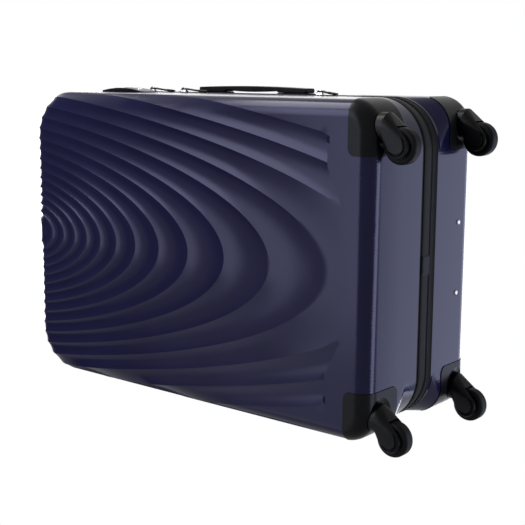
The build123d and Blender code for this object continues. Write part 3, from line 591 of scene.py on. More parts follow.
def build_front_shell():
    """Rippled front, side walls that pass from the wheel end's corners to the rim's, and the inside."""
    points, edges, count = front_points()
    flat, _, faces, _, _, _ = delaunay_2d_cdt(points, edges, [], 1, 1e-5)
    flat = np.array([(v.x, v.y) for v in flat])
    verts = [tuple(v) for v in front_skin(flat[:, 0], flat[:, 1])]
    faces = [tuple(reversed(f)) for f in faces]
    near = 0.55
    pod_back, rim_corners = -60.0, -38.0
    rows = [
        (near, POD_CORNER, FRONT + EDGE - sqrt(EDGE**2 - (EDGE - near) ** 2)),
        (0.0, POD_CORNER, FRONT + EDGE), (0.0, POD_CORNER, pod_back),
    ]
    for share in np.arange(1, 7) / 6:
        radius = POD_CORNER + (CORNER - POD_CORNER) * share
        rows.append((0.0, radius, pod_back + (rim_corners - pod_back) * share))
    lip = 0.6
    inner_bend, inner_face, inner_round = -112.0, -129.5, 14.0
    rows += [
        (0.0, CORNER, RIM_FRONT - lip), (lip, CORNER, RIM_FRONT), (WALL, CORNER, RIM_FRONT),
        (WALL, CORNER, inner_bend), (inner_round, CORNER, inner_face),
    ]
    loops = [list(range(count))]
    for inset, corner, y in rows:
        loops.append(list(range(len(verts), len(verts) + count)))
        verts.extend((x, y, z) for x, z in outline_points(inset, corner))
    for a, b in zip(loops, loops[1:]):
        for k in range(count):
            j = (k + 1) % count
            faces.append((a[k], b[k], b[j], a[j]))
    faces.append(tuple(loops[-1]))
    base = link("front_base", skin("front_base", (verts, faces), "shell"))
    mesh = combine(base, [(corner_cutter(side), "DIFFERENCE") for side in (-1, 1)])
    mesh.shade_smooth()
    crease(mesh, 14)
    mount("front_shell_skin", mesh, "front_half", ["front_shell"])


build_front_shell()


# Zip band
LOOP = 2 * (WIDTH + HEIGHT - 4 * CORNER) + 2 * pi * CORNER
STRIP_HALF = 236.0
TEETH = 820
STITCHES = 520
EXPANDER_RIBS = 1860


def loop_stations(count, start=0.0):
    """Evenly spaced stations round the rim: place and outward direction in x and z."""
    across = SIDE - CORNER
    tall = HEIGHT / 2 - CORNER
    turn = pi / 2 * CORNER
    spans = np.array([2 * across, turn, 2 * tall, turn] * 2)
    ends = np.cumsum(spans)
    run = (np.arange(count) / count * LOOP + start) % LOOP
    side = np.minimum(np.searchsorted(ends, run, side="right"), 7)
    along = run - (ends[side] - spans[side])
    curved = side % 2 == 1
    heading = np.radians(np.array([90, 90, 0, 0, -90, -90, -180, -180])[side])
    heading = heading - np.where(curved, along / CORNER, 0)
    nx, nz = np.cos(heading), np.sin(heading)
    home = np.array([
        (-across, tall + CORNER), (across, tall), (across + CORNER, tall), (across, -tall),
        (across, -tall - CORNER), (-across, -tall), (-across - CORNER, -tall), (-across, tall),
    ])[side]
    px = home[:, 0] + np.where(curved, CORNER * nx, along * nz)
    pz = MID + home[:, 1] + np.where(curved, CORNER * nz, -along * nx)
    return px, pz, nx, nz


def band(name, profile, body, slot_name, stands_for=(), count=400, swell=None):
    """Closed ring round the rim; the profile is depth and height above the shell, outer side first."""
    verts = []
    for k, (px, pz, nx, nz) in enumerate(zip(*loop_stations(count))):
        for i, (y, proud) in enumerate(profile):
            rise = proud + (swell(k, i) if swell else 0)
            verts.append((px + nx * rise, y, pz + nz * rise))
    obj = piece(name, (verts, flipped(tube_faces(count, len(profile), True))), body, slot_name, stands_for)
    crease(obj.data, 50)
    return obj


def scatter(name, form, count, start, body, slot_name, stands_for=(), skip_hinge=True):
    """Copies of a small form round the rim: its axes run along the rim, across it and out of it."""
    forms = []
    for px, pz, nx, nz in zip(*loop_stations(count, start)):
        if skip_hinge and px < 2 - SIDE and abs(pz - MID) < STRIP_HALF - 4:
            continue
        forms.append(moved(form, lambda a, y, out: (px + nz * a + nx * out, y, pz - nx * a + nz * out)))
    return piece(name, joined(forms), body, slot_name, stands_for)


def across_rim(form, y, out):
    """Turn a bar to lie across the rim."""
    verts, faces = form
    return [(b, a + y, c + out) for a, b, c in verts], [tuple(reversed(f)) for f in faces]


def along_rim(form, y, out):
    """Lay a bar along the rim."""
    return moved(form, lambda a, b, c: (a, b + y, c + out))


def build_zip_band():
    """Welt, tape, selvage and teeth of both halves, with the expander's ribs and the stitches; the selvages
    take the coil's black, partly as painted shade beside the teeth.
    """
    bead = [(-6.6 + 1.9 * cos(a), -2.4 + 1.7 * sin(a)) for a in np.linspace(pi, 0, 7)]
    band("front_welt", [(-9.0, -3.0), *bead, (-3.2, -2.6), (-3.2, -4.2), (-9.0, -4.2)],
         "front_half", "piping", ["front_piping"])
    tape = [(-3.6, -1.4), (-3.1, -0.4), (-2.2, 0.1), (0.0, 0.3), (4.0, 0.45), (8.0, 0.35),
            (10.2, 0.1), (11.0, -0.4), (11.3, -1.2), (11.0, -2.0), (-3.6, -2.0)]
    front = band("front_tape_cloth", tape, "front_half", "tape_fabric", ["front_zip_tape"])
    # Cloth at the foot of the front tape in the coil's black: partly painted shade under the tape's edge.
    band("front_selvage_painted_shade", [(10.2, -1.4), (15.0, -1.0), (17.2, -0.9), (17.2, -2.2), (10.2, -2.2)],
         "front_half", "coil")
    tooth = capsule(4.9, 1.25, 1.9, 6)
    scatter("front_teeth", across_rim(tooth, 17.4, -0.1), TEETH, 0.0, "front_half", "coil",
            ["front_zip_coil"])
    scatter("rear_teeth", across_rim(tooth, 20.6, -0.1), TEETH, LOOP / TEETH / 2, "rear_half", "coil",
            ["rear_zip_coil"])
    # Cloth at the foot of the rear tape in the coil's black: partly painted shade beside the teeth.
    band("rear_selvage_painted_shade", [(20.8, -0.9), (22.6, -1.0), (24.0, -1.2), (24.0, -2.2), (20.8, -2.2)],
         "rear_half", "coil")
    tape = [(22.9, -1.2), (23.3, -0.2), (24.0, 0.1), (25.0, 0.05), (25.4, -0.6), (25.4, -2.0), (22.9, -2.0)]
    band("rear_tape_cloth", tape, "rear_half", "tape_fabric", ["rear_zip_tape"])
    ribs = (0.0, 0.2, 0.22, 0.2, 0.0, 0.2, 0.22, 0.2, 0.0, 0.0, 0.0)
    expander = [(25.0, -0.4), (25.3, 0.25), (25.9, 0.5), (26.5, 0.35), (27.0, -0.3), (27.5, 0.35),
                (28.1, 0.5), (28.7, 0.25), (29.0, -0.4), (29.0, -2.0), (25.0, -2.0)]
    band("expander_ribs", expander, "rear_half", "tape_fabric", ["expander_coil"], EXPANDER_RIBS,
         lambda k, i: ribs[i] * (1 if (k + (i > 4)) % 2 else -1))
    bead = [(31.1 + 1.8 * cos(a), -0.9 + 1.7 * sin(a)) for a in np.linspace(pi, 0, 8)]
    band("rear_welt", [(28.9, -2.0), *bead, (33.0, -2.4), (33.0, -3.6), (28.9, -3.6)],
         "rear_half", "piping", ["rear_piping"])
    thread = capsule(3.2, 0.55, 0.5, 5)
    for row, y, out, start in (("front", -1.0, 0.28, 0.0), ("mid", 9.0, 0.35, 2.0)):
        scatter(f"tape_stitches_{row}", along_rim(thread, y, out), STITCHES, start, "front_half",
                "strap_fabric", skip_hinge=False)


def build_patch():
    """Folded tab sewn over the zip at the wheel end, its edges turned under."""
    half, deep, first = 14.5, 20.2, -4.6
    rows = np.linspace(0, 1, 17)
    top = []
    low = []
    for u in np.linspace(-1, 1, 25):
        for v in rows:
            x, y = half * u, first + deep * v
            edge = min(1 - abs(u), v * 1.4, (1 - v) * 1.4)
            rise = 1.9 * min(1, edge * 7) ** 0.5 - 0.12 * sin(u * 5.0 + v * 3.0)
            top.append((x, y, BOTTOM - 0.3 - rise))
            low.append((x, y, BOTTOM + 0.6))
    form = sheet_form(top, low, len(rows))
    obj = piece("patch_cloth", form, "front_half", "strap_fabric", ["zip_patch"])


def build_hinge_strip():
    """Webbing that joins the two halves on the side away from the handle."""
    first, last, hem = -2.6, 24.6, 1.6
    rows = np.linspace(first, last, 29)
    outer = []
    inner = []
    for t in np.linspace(-1, 1, 80):
        for y in rows:
            edge = min(1.0, (1 - abs(t)) * STRIP_HALF / 2.5, (y - first) / hem, (last - y) / hem)
            rise = 0.75 + 0.35 * max(edge, 0) ** 0.5 + 0.08 * sin(t * 31) * sin(y * 0.5)
            outer.append((-SIDE - rise, y, MID + t * STRIP_HALF))
            inner.append((-SIDE - 0.55, y, MID + t * STRIP_HALF))
    verts, faces = sheet_form(outer, inner, len(rows))
    obj = link("hinge_webbing", skin("hinge_webbing", (verts, flipped(faces)), "strap_fabric"))
    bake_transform(obj)


build_zip_band()
build_patch()
build_hinge_strip()


# Casters
SWIVELS = {"front_right": (203.0, -107.0), "front_left": (-203.0, -107.0),
           "rear_right": (203.0, 107.0), "rear_left": (-203.0, 107.0)}
AXLE_X = -24.0
AXLE_Z = 25.0
ROUND = 72


def turned(rings, name, axle=True, steps=ROUND):
    """Scratch solid turned about the axle, or about the swivel: rings are (place along the axis, radius)."""
    form = bmesh.new()
    loops = []
    for along, radius in rings:
        spots = [
            (c + AXLE_X, along, AXLE_Z - s) if axle else (c, s, along) for c, s in circle(radius, steps)
        ]
        loops.append([form.verts.new(Vector(spot) * MM) for spot in spots])
    for a, b in zip(loops, loops[1:]):
        for k in range(steps):
            j = (k + 1) % steps
            form.faces.new((a[k], a[j], b[j], b[k]))
    form.faces.new(list(reversed(loops[0])))
    form.faces.new(loops[-1])
    bmesh.ops.recalc_face_normals(form, faces=form.faces)
    return solid_from(form, name)


def fork_body():
    """Scratch solid of the fork: a hull round the foot of the barrel and the two cheeks."""
    form = bmesh.new()
    for z, radius in ((49.6, 20.5), (46.5, 20.5)):
        for c, s in circle(radius, ROUND):
            form.verts.new(Vector((c, s, z)) * MM)
    for y, radius in ((-17.0, 15.4), (-16.5, 16.4), (-15.6, 16.9), (15.6, 16.9), (16.5, 16.4), (17.0, 15.4)):
        for c, s in circle(radius, ROUND):
            form.verts.new(Vector((c + AXLE_X, y, s + AXLE_Z)) * MM)
    hull = bmesh.ops.convex_hull(form, input=form.verts)
    loose = [v for v in hull["geom_interior"] + hull["geom_unused"] if isinstance(v, bmesh.types.BMVert)]
    bmesh.ops.delete(form, geom=list(set(loose)), context="VERTS")
    return solid_from(form, "fork")


def build_forks():
    """Caster forks: the barrel flows into two cheeks, with a groove round each axle cap."""
    groove = ((15.3, 12.4), (17.0, 14.3), (17.6, 14.6))
    cap = ((15.0, 12.2), (17.1, 10.4), (17.4, 9.6))
    steps = [
        (turned(((47.5, 20.45), (57.4, 20.45), (58.2, 19.6)), "barrel", axle=False), "UNION"),
        (turned(((-11.6, 27.0), (11.6, 27.0)), "slot", steps=96), "DIFFERENCE"),
    ]
    for rings, name, operation in ((groove, "groove", "DIFFERENCE"), (cap, "cap", "UNION")):
        steps.append((turned([(-along, radius) for along, radius in reversed(rings)], name), operation))
        steps.append((turned(rings, name), operation))
    mesh = combine(fork_body(), steps)
    mesh.materials.append(BY_SLOT["black_plastic"])
    mesh.shade_smooth()
    crease(mesh, 24)
    for corner, (x, y) in SWIVELS.items():
        copy = mesh.copy()
        copy.transform(Matrix.Translation((x * MM, y * MM, 0)))
        mount(f"fork_{corner}", copy, f"caster_{corner}", [f"caster_fork_{corner}"])


build_forks()


# Zip sliders and pulls: place across and up the case, width of the slider and length of the pull
SLIDERS = {
    "upper": (19.0, 616.5, 11.0, 51.0),
    "lower": (19.0, 542.5, 11.0, 51.0),
    "expander": (27.0, 262.5, 8.6, 34.0),
}
PIN = SIDE + 6.0


def slider_form(y, z, width):
    """Slider body on the coil with an arched bail over it."""
    half = 8.2
    plate = []
    for x, grow in ((1.0, 0.9), (1.3, 1.0), (2.6, 1.0), (3.1, 0.93), (3.3, 0.82)):
        loop = []
        for u, v in squircle(half, width / 2, 3.2):
            waist = 1 - 0.16 * (1 - (u / half) ** 2) * (1 if u < 2 else 0.5)
            loop.append((SIDE + x, y - v * grow * waist, z + u * grow))
        plate.append(loop)
    arch = []
    for a in np.linspace(0, pi, 17):
        cx, cz = SIDE + 2.4 + 6.0 * sin(a), z + 5.3 * cos(a)
        arch.append([(cx + sin(a) * u, y + v, cz + cos(a) * u) for u, v in squircle(0.85, 2.3, 3.5, 16)])
    return joined([loft(plate), loft(arch)])


def pull_form(y, z, length):
    """Moulded pull on a pin through the bail, resting towards the band at its free end."""
    def height(d):
        share = min(max(d / (length - 4), 0), 1)
        return PIN - 3.5 * share * share * (3 - 2 * share)

    stations = ((6.4, 3.2, 0.7), (7.2, 4.2, 1.15), (9.0, 4.5, 1.3), (13.0, 4.5, 1.4), (18.0, 4.0, 1.4),
                (length * 0.55, 4.3, 1.5), (length * 0.8, 4.8, 1.65), (length - 4, 4.8, 1.65),
                (length - 1.6, 4.3, 1.4), (length - 0.4, 3.2, 0.9))
    parts = [loft([
        [(height(d) + v, y + u, z - d) for u, v in squircle(wide, thick, 3.6, 24)]
        for d, wide, thick in stations
    ])]
    parts.append(moved(capsule(8.4, 2.1, 2.1, 10), lambda a, b, c: (PIN + c, y + a, z + b)))
    for side in (-1, 1):
        ear = []
        arm = y + side * 3.7
        for d, grow in ((-1.7, 0.55), (-1.2, 0.9), (0.0, 1.0), (6.0, 1.0), (8.2, 0.9)):
            ear.append([(PIN + v * grow, arm + u * grow, z - d) for u, v in squircle(0.9, 1.35, 3, 12)])
        parts.append(loft(ear))
    for k in range(4):
        d = length - 16.0 + 3.2 * k
        rib = capsule(6.4, 1.2, 1.0, 8)
        parts.append(moved(rib, lambda a, b, c: (height(d) + 1.6 + c, y + a, z - d + b)))
    return joined(parts)


for name, (y, z, width, length) in SLIDERS.items():
    slider = piece(f"slider_{name}_form", slider_form(y, z, width), f"slider_{name}", "zip_metal",
                   [f"zip_slider_{name}"])
    crease(slider.data, 35)
    pull = piece(f"pull_{name}_form", pull_form(y, z, length), f"pull_{name}", "black_plastic",
                 [f"zip_pull_{name}"])
    crease(pull.data, 40)


# Linings and packing straps: corners of a lining's mouth with their radii, and the trolley's channel
TRAY = [((-224.0, 736.5), 59.0), ((224.0, 736.5), 59.0), ((224.0, 94.5), 34.0), ((162.0, 94.5), 6.0),
        ((162.0, 68.5), 17.0), ((-162.0, 68.5), 17.0), ((-162.0, 94.5), 6.0), ((-224.0, 94.5), 34.0)]
CHANNEL_HALF = 94.2
CHANNEL_FACE = 80.1
CHANNEL_RAMP = 6.0
LIP_INSET = 4.7
FOOT = 14.0
WALL_GAP = 1.3
CLOTH = 0.9


def tray_loop(spacing=4.0):
    """Points round a lining's mouth and their inward directions, clockwise from the top left."""
    points = []
    inward = []
    spots = [np.array(corner) for corner, _ in TRAY]
    for k, (_, radius) in enumerate(TRAY):
        following = (k + 1) % len(TRAY)
        corner = spots[k]
        before = spots[k - 1] - corner
        after = spots[following] - corner
        before /= np.linalg.norm(before)
        after /= np.linalg.norm(after)
        centre = corner + (before + after) * radius
        turn = 1.0 if before[0] * after[1] - before[1] * after[0] > 0 else -1.0
        for t in np.linspace(0, pi / 2, 15 if radius > 8 else 7):
            way = -after * cos(t) - before * sin(t)
            points.append(centre + radius * way)
            inward.append(-way * turn)
        start = corner + after * radius
        stop = spots[following] - after * TRAY[following][1]
        steps = int(np.linalg.norm(stop - start) / spacing)
        for j in range(1, steps):
            points.append(start + (stop - start) * j / steps)
            inward.append(np.array([after[1], -after[0]]))
    return np.array(points), np.array(inward)


def lip_edge(points, inset):
    """Where rays from the middle through the mouth's points meet the outline at an inset."""
    low = np.ones(len(points))
    high = np.full(len(points), 1.6)
    for _ in range(30):
        mid = (low + high) / 2
        qx = np.abs(points[:, 0] * mid) - (SIDE - CORNER)
        qz = np.abs((points[:, 1] - MID) * mid) - (HEIGHT / 2 - CORNER)
        outer = np.hypot(np.maximum(qx, 0), np.maximum(qz, 0))
        depth = CORNER - outer - np.minimum(np.maximum(qx, qz), 0)
        low = np.where(depth > inset, mid, low)
        high = np.where(depth > inset, high, mid)
    return np.stack([points[:, 0] * low, MID + (points[:, 1] - MID) * low], -1)


def thicken(verts, faces, amount):
    """Closed sheet: the faces, a copy set back by the amount, and the edge between them."""
    verts = np.array(verts, float)
    normals = np.zeros_like(verts)
    for f in faces:
        n = np.cross(verts[f[1]] - verts[f[0]], verts[f[2]] - verts[f[0]])
        if len(f) == 4:
            n = n + np.cross(verts[f[2]] - verts[f[0]], verts[f[3]] - verts[f[0]])
        for i in f:
            normals[i] += n
    normals /= np.maximum(np.linalg.norm(normals, axis=1, keepdims=True), 1e-9)
    total = len(verts)
    used = dict.fromkeys((a, b) for f in faces for a, b in zip(f, f[1:] + f[:1]))
    out = list(faces) + [tuple(i + total for i in reversed(f)) for f in faces]
    out += [(b, a, a + total, b + total) for a, b in used if (b, a) not in used]
    return [tuple(v) for v in np.vstack([verts, verts - normals * amount])], out


def floor_grid(channel):
    """Front view points inside a lining's floor, closer together where the floor steps up to the channel."""
    half, shelf = 184.0, 120.0
    low_middle, low_side = 105.0, 131.0
    bend, bend_x, bend_z = 34.0, 152.0, 662.0
    ramp, ramp_half = 97.0, 7.0
    columns = list(np.linspace(-180, 180, 37))
    if channel:
        columns = [x for x in columns if abs(abs(x) - ramp) > ramp_half]
        for x in (93.4, 94.6, 96.0, 97.2, 98.4, 99.6, 101.0):
            columns += [-x, x]
    grid = []
    for x in columns:
        for z in np.linspace(96, 700, 61):
            low = low_side if abs(x) > shelf else low_middle
            corner = max(abs(x) - bend_x, 0) ** 2 + max(z - bend_z, 0) ** 2
            if z > low and corner < bend**2 and abs(x) < half:
                grid.append(Vector((x, z)))
    return grid


def tube_loop(points, radius, sides=8):
    """Closed bead that follows a ring of points."""
    points = np.array(points, float)
    ahead = np.roll(points, -1, axis=0) - np.roll(points, 1, axis=0)
    ahead /= np.linalg.norm(ahead, axis=1, keepdims=True)
    across = np.cross(ahead, np.array([0.0, 1.0, 0.0]))
    across /= np.linalg.norm(across, axis=1, keepdims=True)
    rise = np.cross(across, ahead)
    verts = []
    for p, a, r in zip(points, across, rise):
        verts += [tuple(p + c * a + s * r) for c, s in circle(radius, sides)]
    return verts, tube_faces(len(points), sides, True)


def build_lining(half, mouth, floor, channel):
    """Sewn cloth tray: flange behind the zip, puckered walls, rounded foot, slack floor and bead."""
    way = 1.0 if floor > mouth else -1.0
    reach = abs(floor - mouth)
    points, inward = tray_loop()
    count = len(points)
    arc = np.concatenate([[0], np.cumsum(np.linalg.norm(np.diff(points, axis=0), axis=1))])

    def depth_at(x):
        rise = np.clip((CHANNEL_HALF + CHANNEL_RAMP - np.abs(x)) / CHANNEL_RAMP, 0, 1)
        rise = rise * rise * (3 - 2 * rise)
        return reach - channel * rise * (reach - abs(CHANNEL_FACE - mouth))

    def level_ring(flat, level):
        return [(x, mouth + way * h, z) for (x, z), h in zip(flat, level)]

    deep = depth_at(points[:, 0])
    edge = lip_edge(points, LIP_INSET)
    rings = []
    for t in (0.0, 0.33, 0.66, 0.93):
        flat = edge + (points + inward * 0.2 - edge) * t
        rings.append(level_ring(flat, 0.25 + 0.12 * np.sin(arc * 0.19) * t))
    for gap, level in ((0.75, 0.6), (1.2, 1.8)):
        rings.append(level_ring(points + inward * gap, np.full(count, level)))
    fold = np.sin(arc * 0.27 + 1.4 * np.sin(arc * 0.031))
    fold = fold + 0.6 * np.sin(arc * 0.61 + 2.0 * np.sin(arc * 0.043))
    for t in np.linspace(0.06, 1.0, 12):
        slack = WALL_GAP + (0.45 + 0.3 * fold) * sin(pi * t) * 1.6
        rings.append(level_ring(points + inward * slack[:, None], 2.0 + (deep - FOOT - 2.0) * t))
    for a in np.linspace(0, pi / 2, 7)[1:]:
        flat = points + inward * (WALL_GAP + FOOT * (1 - cos(a)))
        rings.append(level_ring(flat, deep - FOOT + FOOT * sin(a)))
    verts = [p for ring in rings for p in ring]
    faces = tube_faces(len(rings), count)
    if way > 0:
        faces = [tuple(reversed(f)) for f in faces]
    last = len(verts) - count
    ring = [Vector((x, z)) for x, _, z in verts[last:]]
    edges = [(k, (k + 1) % count) for k in range(count)]
    flat, _, tris, origin, _, _ = delaunay_2d_cdt(ring + floor_grid(channel), edges, [], 1, 1e-5)
    index = []
    for (x, z), source in zip(flat, origin):
        held = [k for k in source if k < count]
        if held:
            index.append(last + held[0])
            continue
        near = np.clip(min((186 - abs(x)) / 30, (700 - z) / 30, (z - 100) / 30), 0, 1)
        ripple = sin(x * 0.045 + 1.7 * sin(z * 0.017)) * sin(z * 0.031 + 0.8 * sin(x * 0.023))
        ripple += 0.5 * sin(z * 0.083 + x * 0.051)
        index.append(len(verts))
        verts.append((x, mouth + way * (depth_at(x) - near * (0.9 + 0.7 * ripple)), z))
    faces += [tuple(index[i] for i in (t if way > 0 else reversed(t))) for t in tris]
    body = f"{half}_half"
    cloth = thicken(verts, faces, CLOTH)
    obj = piece(f"{half}_lining_cloth", cloth, body, "lining_fabric", [f"{half}_lining"])
    sunk = 0.2
    flat = points + inward * (WALL_GAP + FOOT * (1 - cos(1.0)) + sunk)
    route = level_ring(flat, deep - FOOT + FOOT * sin(1.0) - sunk)
    piece(f"{half}_lining_bead", tube_loop(route, 1.1), body, "strap_fabric")


def webbing(path, wide, thick):
    """Flat strap along points of the X-Y plane, with rounded edges, for one place up the case."""
    path = np.array(path, float)
    ahead = np.gradient(path, axis=0)
    ahead /= np.linalg.norm(ahead, axis=1, keepdims=True)
    side = np.stack([-ahead[:, 1], ahead[:, 0]], -1)
    upper = [(-wide / 2 + 0.5, 0.5), (-wide / 4, 0.5), (0.0, 0.5), (wide / 4, 0.5), (wide / 2 - 0.5, 0.5)]
    ring = [(-wide / 2, 0.0), *upper, (wide / 2, 0.0), *[(w, -t) for w, t in reversed(upper)]]
    return loft([
        [(p[0] + n[0] * t * thick, p[1] + n[1] * t * thick, w) for w, t in ring] for p, n in zip(path, side)
    ])


def buckle(level):
    """Snap buckle of a strap: the catch, the base and its three prongs."""
    face = 41.2
    catch = ((-2.0, 13.0, 3.4), (-1.2, 15.0, 4.4), (6.0, 16.2, 5.0), (16.0, 16.4, 4.8), (21.0, 15.4, 3.8),
             (22.0, 14.0, 3.0))
    base = ((-22.0, 14.0, 2.8), (-21.0, 15.4, 3.4), (-14.0, 15.8, 3.8), (-10.0, 14.6, 3.4), (-9.2, 13.6, 2.8))
    prong = ((-11.0, 11.6, 2.4), (-7.0, 13.6, 2.7), (-3.0, 12.8, 2.5), (1.0, 11.5, 2.0))
    forms = []
    for block in (catch, base):
        forms.append(loft([
            [(x, face + b, level + a) for a, b in squircle(wide, tall, 4.0)] for x, wide, tall in block
        ]))
    for side in (-1, 0, 1):
        forms.append(loft([
            [(x, face + b, level + side * out + a) for a, b in squircle(half, 2.2, 3.0)]
            for x, out, half in prong
        ]))
    return joined(forms)


def build_straps():
    """Elastic packing straps across the rear half, each with a snap buckle and sewn ends."""
    from_mid = 130.0
    first, fold, end = 14.0, 202.0, 221.6
    rest, sag, span, fold_rest = 38.0, 3.2, 444.0, 40.1
    thread = capsule(2.6, 0.7, 0.5)
    for name, level in (("upper", MID + from_mid), ("lower", MID - from_mid)):
        bands = []
        for sign in (-1, 1):
            x = np.linspace(first, end, 60)
            y = rest + sag * np.cos(pi * x / span) ** 2 + 0.25 * np.sin(x * 0.16)
            y = y - 1.4 * np.clip((x - 200) / 22, 0, 1) ** 2
            bands.append(webbing(np.stack([sign * x, y], -1), 25.0, 1.3))
            x = np.linspace(fold, end, 12)
            bands.append(webbing(np.stack([sign * x, np.full_like(x, fold_rest)], -1), 24.2, 1.1))
        form = moved(joined(bands), lambda a, b, c: (a, b, c + level))
        node = ["packing_straps"] if name == "upper" else []
        obj = piece("strap_" + name, form, "rear_half", "strap_fabric", node)
        outward(obj.data)
        obj = piece("strap_buckle_" + name, buckle(level), "rear_half", "black_plastic")
        outward(obj.data)
        crease(obj.data, 40)
        stitches = []
        for ends in ((-205.0, -219.0), (205.0, 219.0)):
            for up in np.linspace(-10, 10, 7):
                for x in ends:
                    stitches.append(moved(thread, lambda a, b, c: (x + b, 39.3 + c * 0.6, level + up + a)))
        piece("strap_stitches_" + name, joined(stitches), "rear_half", "lining_fabric")


build_lining("front", -6.0, -127.8, 0.0)
build_lining("rear", 30.0, 132.0, 1.0)
build_straps()


# Lock trim
LOCK_Y = -32.0
LOCK_Z = 624.5
LOCK_PROUD = 7.0
CROWN = 226.0
DIAL_X = 242.1
DIAL_RADIUS = 5.5
DIAL_PITCH = 6.0


def crown(z):
    """Height of the lock's crowned face, for a place up the case."""
    return SIDE + LOCK_PROUD - CROWN + sqrt(CROWN**2 - (z - LOCK_Z) ** 2)


def lock_rim(name, z, half, power):
    """Metal rim on the lock's face, round an opening of the given half width."""
    profile = ((0.0, -0.6), (0.0, 0.2), (0.25, 0.4), (0.75, 0.4), (1.05, 0.15), (1.1, -0.6))
    loop = squircle(1.0, 1.0, power, 48)
    verts = []
    for u, v in loop:
        for out, rise in profile:
            spot = z + v * (half + out)
            verts.append((crown(spot) + rise, LOCK_Y + u * (half + out), spot))
    obj = piece(name, (verts, tube_faces(len(loop), len(profile), True)), "front_half", "zip_metal")
    outward(obj.data)
    crease(obj.data, 35)


def digit_form(digit, level):
    """Number on a dial, wrapped round it."""
    curve = bpy.data.curves.new("digit", "FONT")
    curve.body = str(digit)
    curve.size = 3.4
    curve.extrude = 0.06
    curve.resolution_u = 3
    curve.align_x = "CENTER"
    curve.align_y = "CENTER"
    holder = bpy.data.objects.new("digit", curve)
    glyph = bpy.data.meshes.new_from_object(holder)
    verts = []
    for v in glyph.vertices:
        turn = 2 * pi * digit / 10 + v.co.x / DIAL_RADIUS
        reach = DIAL_RADIUS + 0.02 + v.co.z
        verts.append((DIAL_X + reach * cos(turn), LOCK_Y + reach * sin(turn), level + v.co.y))
    faces = [tuple(f.vertices) for f in glyph.polygons]
    bpy.data.objects.remove(holder)
    bpy.data.curves.remove(curve)
    bpy.data.meshes.remove(glyph)
    return verts, faces


lock_rim("lock_key_rim", 597.5, 3.75, 2.0)
lock_rim("lock_button_rim", 648.5, 4.85, 6.0)
for k in (1, 2, 3):
    digits = joined([digit_form(digit, LOCK_Z + (k - 2) * DIAL_PITCH) for digit in range(10)])
    dial = piece(f"dial_digits_{k}", digits, f"dial_{k}", "zip_metal", smooth=False)
    outward(dial.data, weld=1e-6)


# Stage
def ease(mat, source, output, start, stop):
    """Smooth step of a value between two places."""
    step = add_node(mat, "ShaderNodeMapRange", {"Value": (source, output)}, interpolation_type="SMOOTHSTEP")
    step.inputs["From Min"].default_value = start
    step.inputs["From Max"].default_value = stop
    return step


def clear_where(mat, first, second):
    """Let a material clear where either of two values, given as (node, output), nears one."""
    unseen = add_node(mat, "ShaderNodeMath", {0: first, 1: second}, operation="MAXIMUM")
    clear = add_node(mat, "ShaderNodeBsdfTransparent")
    links = {0: (unseen, 0), 1: (principled(mat), "BSDF"), 2: (clear, "BSDF")}
    mix = add_node(mat, "ShaderNodeMixShader", links)
    mat.node_tree.links.new(mix.outputs["Shader"], mat.node_tree.nodes["Material Output"].inputs["Surface"])


def flat_card(name, corners, mat):
    """One face in the scene, given in metres."""
    mesh = bpy.data.meshes.new(name)
    mesh.from_pydata(corners, [], [(0, 1, 2, 3)])
    mesh.materials.append(mat)
    return link(name, mesh)


def hide(obj, *rays):
    """Keep an object from being seen by some kinds of rays."""
    for ray in rays:
        setattr(obj, f"visible_{ray}", False)


def build_floor():
    """Pale floor that fades out at a distance and can't be seen from below."""
    mat = material("floor_pale", (0.86, 0.86, 0.86), 0.9, 0.1)
    where = add_node(mat, "ShaderNodeNewGeometry")
    reach = add_node(mat, "ShaderNodeVectorMath", {0: (where, "Position")}, operation="LENGTH")
    far = ease(mat, reach, "Value", 0.55, 1.5)
    clear_where(mat, (where, "Backfacing"), (far, "Result"))
    floor = flat_card("floor", [(-6, -6, 0), (6, -6, 0), (6, 6, 0), (-6, 6, 0)], mat)
    hide(floor, "shadow", "diffuse", "glossy", "transmission")


def build_flags():
    """Dark cards that only reflections see: one is painted shade, for the shade under a case lying down, and
    one is overhead.
    """
    dark = (0.2, 0.2, 0.21)
    soft = material("painted_shade_card", dark, 0.9, 0.1)
    where = add_node(soft, "ShaderNodeNewGeometry")
    parts = add_node(soft, "ShaderNodeSeparateXYZ", {"Vector": (where, "Position")})
    # The painted shade clears towards the back of the case and towards its wheel end.
    back = ease(soft, parts, "Y", -0.02, 0.15)
    low = ease(soft, parts, "Z", 0.24, 0.06)
    clear_where(soft, (back, "Result"), (low, "Result"))
    # Painted shade: a dark card beside the lower edge of the front, seen only in reflections.
    beside = ((-0.265, -0.12, 0.05), (-0.265, 0.16, 0.05), (-0.265, 0.16, 1.2), (-0.265, -0.12, 1.2))
    above = ((-0.9, -1.35, 1.75), (0.9, -1.35, 1.75), (0.9, -0.15, 1.75), (-0.9, -0.15, 1.75))
    plain = material("flag_dark", dark, 0.9, 0.1)
    for flag in (flat_card("painted_shade_side", beside, soft), flat_card("flag_over", above, plain)):
        hide(flag, "camera", "shadow", "diffuse")


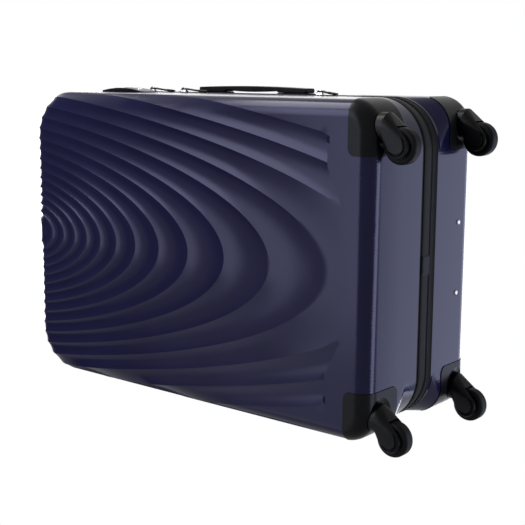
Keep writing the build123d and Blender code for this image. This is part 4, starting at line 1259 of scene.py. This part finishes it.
def build_world():
    """White for the camera and for reflections, and dim for the light that falls on the case."""
    world = bpy.data.worlds.new("studio")
    bpy.context.scene.world = world
    world.use_nodes = True
    dim = world.node_tree.nodes["Background"]
    dim.inputs["Color"].default_value = (1, 1, 1, 1)
    dim.inputs["Strength"].default_value = 0.12
    white = add_node(world, "ShaderNodeBackground", Color=(1, 1, 1, 1), Strength=1.0)
    path = add_node(world, "ShaderNodeLightPath")
    rays = {0: (path, "Is Camera Ray"), 1: (path, "Is Glossy Ray")}
    seen = add_node(world, "ShaderNodeMath", rays, operation="MAXIMUM")
    rays = {0: (seen, 0), 1: (path, "Is Transmission Ray")}
    seen = add_node(world, "ShaderNodeMath", rays, operation="MAXIMUM")
    links = {0: (seen, 0), 1: (dim, "Background"), 2: (white, "Background")}
    mix = add_node(world, "ShaderNodeMixShader", links)
    world.node_tree.links.new(mix.outputs["Shader"], world.node_tree.nodes["World Output"].inputs["Surface"])


def build_camera():
    """Camera of the photo: it shows the case lying on its hinge side, so it is rolled a quarter turn."""
    yaw, pitch, roll = 0.68542, 0.17253, 0.00608
    place_lying = Vector((1156.0, -1352.5, 515.0))
    focal_px, photo_px, sensor = 1093.4, 525, 36.0

    def upright(v):
        return Vector((v.z, v.y, -v.x))

    ahead = Vector((-sin(yaw) * cos(pitch), cos(yaw) * cos(pitch), -sin(pitch)))
    right = Vector((cos(yaw), sin(yaw), 0))
    up = right.cross(ahead)
    right, up = right * cos(roll) + up * sin(roll), up * cos(roll) - right * sin(roll)
    turn = Matrix((upright(right), upright(up), -upright(ahead))).transposed()
    spot = upright(place_lying) + Vector((-SIDE, 0, MID))
    data = bpy.data.cameras.new("camera")
    data.sensor_width = sensor
    data.lens = focal_px / photo_px * sensor
    data.clip_start = 0.05
    data.clip_end = 50
    camera = link("camera", data)
    camera.matrix_world = Matrix.Translation(spot * MM) @ turn.to_4x4()
    bpy.context.scene.camera = camera


def area_light(name, energy, size, position, target, colour=(1, 1, 1)):
    """Rectangular lamp that faces a target."""
    light = bpy.data.lights.new(name, "AREA")
    light.energy = energy
    light.shape = "RECTANGLE"
    light.size, light.size_y = size
    light.color = colour
    obj = link(name, light)
    obj.location = position
    obj.rotation_euler = (Vector(target) - Vector(position)).to_track_quat("-Z", "Y").to_euler()


build_floor()
build_flags()
build_world()
build_camera()
front = (0, -0.138, 0.4)
back = (0, 0.138, 0.4)
wheel_end = (0, 0, 0.05)
cool = (0.82, 0.85, 1.0)
area_light("front_high", 42, (1.2, 1.0), (0.97, -1.72, 1.14), front, cool)
area_light("front_box", 17, (1.0, 1.0), (-0.14, -2.01, 1.05), front, cool)
area_light("front_low", 5.5, (1.1, 1.0), (-1.176, -1.62, 1.06), front, cool)
area_light("side_box", 17, (1.5, 1.5), (-0.42, 1.52, -0.76), wheel_end, (0.62, 0.68, 1.0))
area_light("side_fill", 26, (1.2, 0.55), (-0.24, 0.36, -1.33), wheel_end, (0.72, 0.77, 1.0))
area_light("over_box", 30, (1.1, 0.7), (1.45, -0.45, 0.95), (0.2, 0, 0.2))
area_light("back_edge", 2, (1.2, 0.7), (0.5, 1.6, 1.7), (0.24, 0, 0.4))
area_light("back_box", 26, (1.4, 1.4), (-0.55, 2.1, 1.0), back, cool)
area_light("top_back", 40, (1.4, 1.4), (-0.3, 0.9, 2.1), (0, 0, 0.4))
bpy.context.scene.view_settings.view_transform = "Standard"
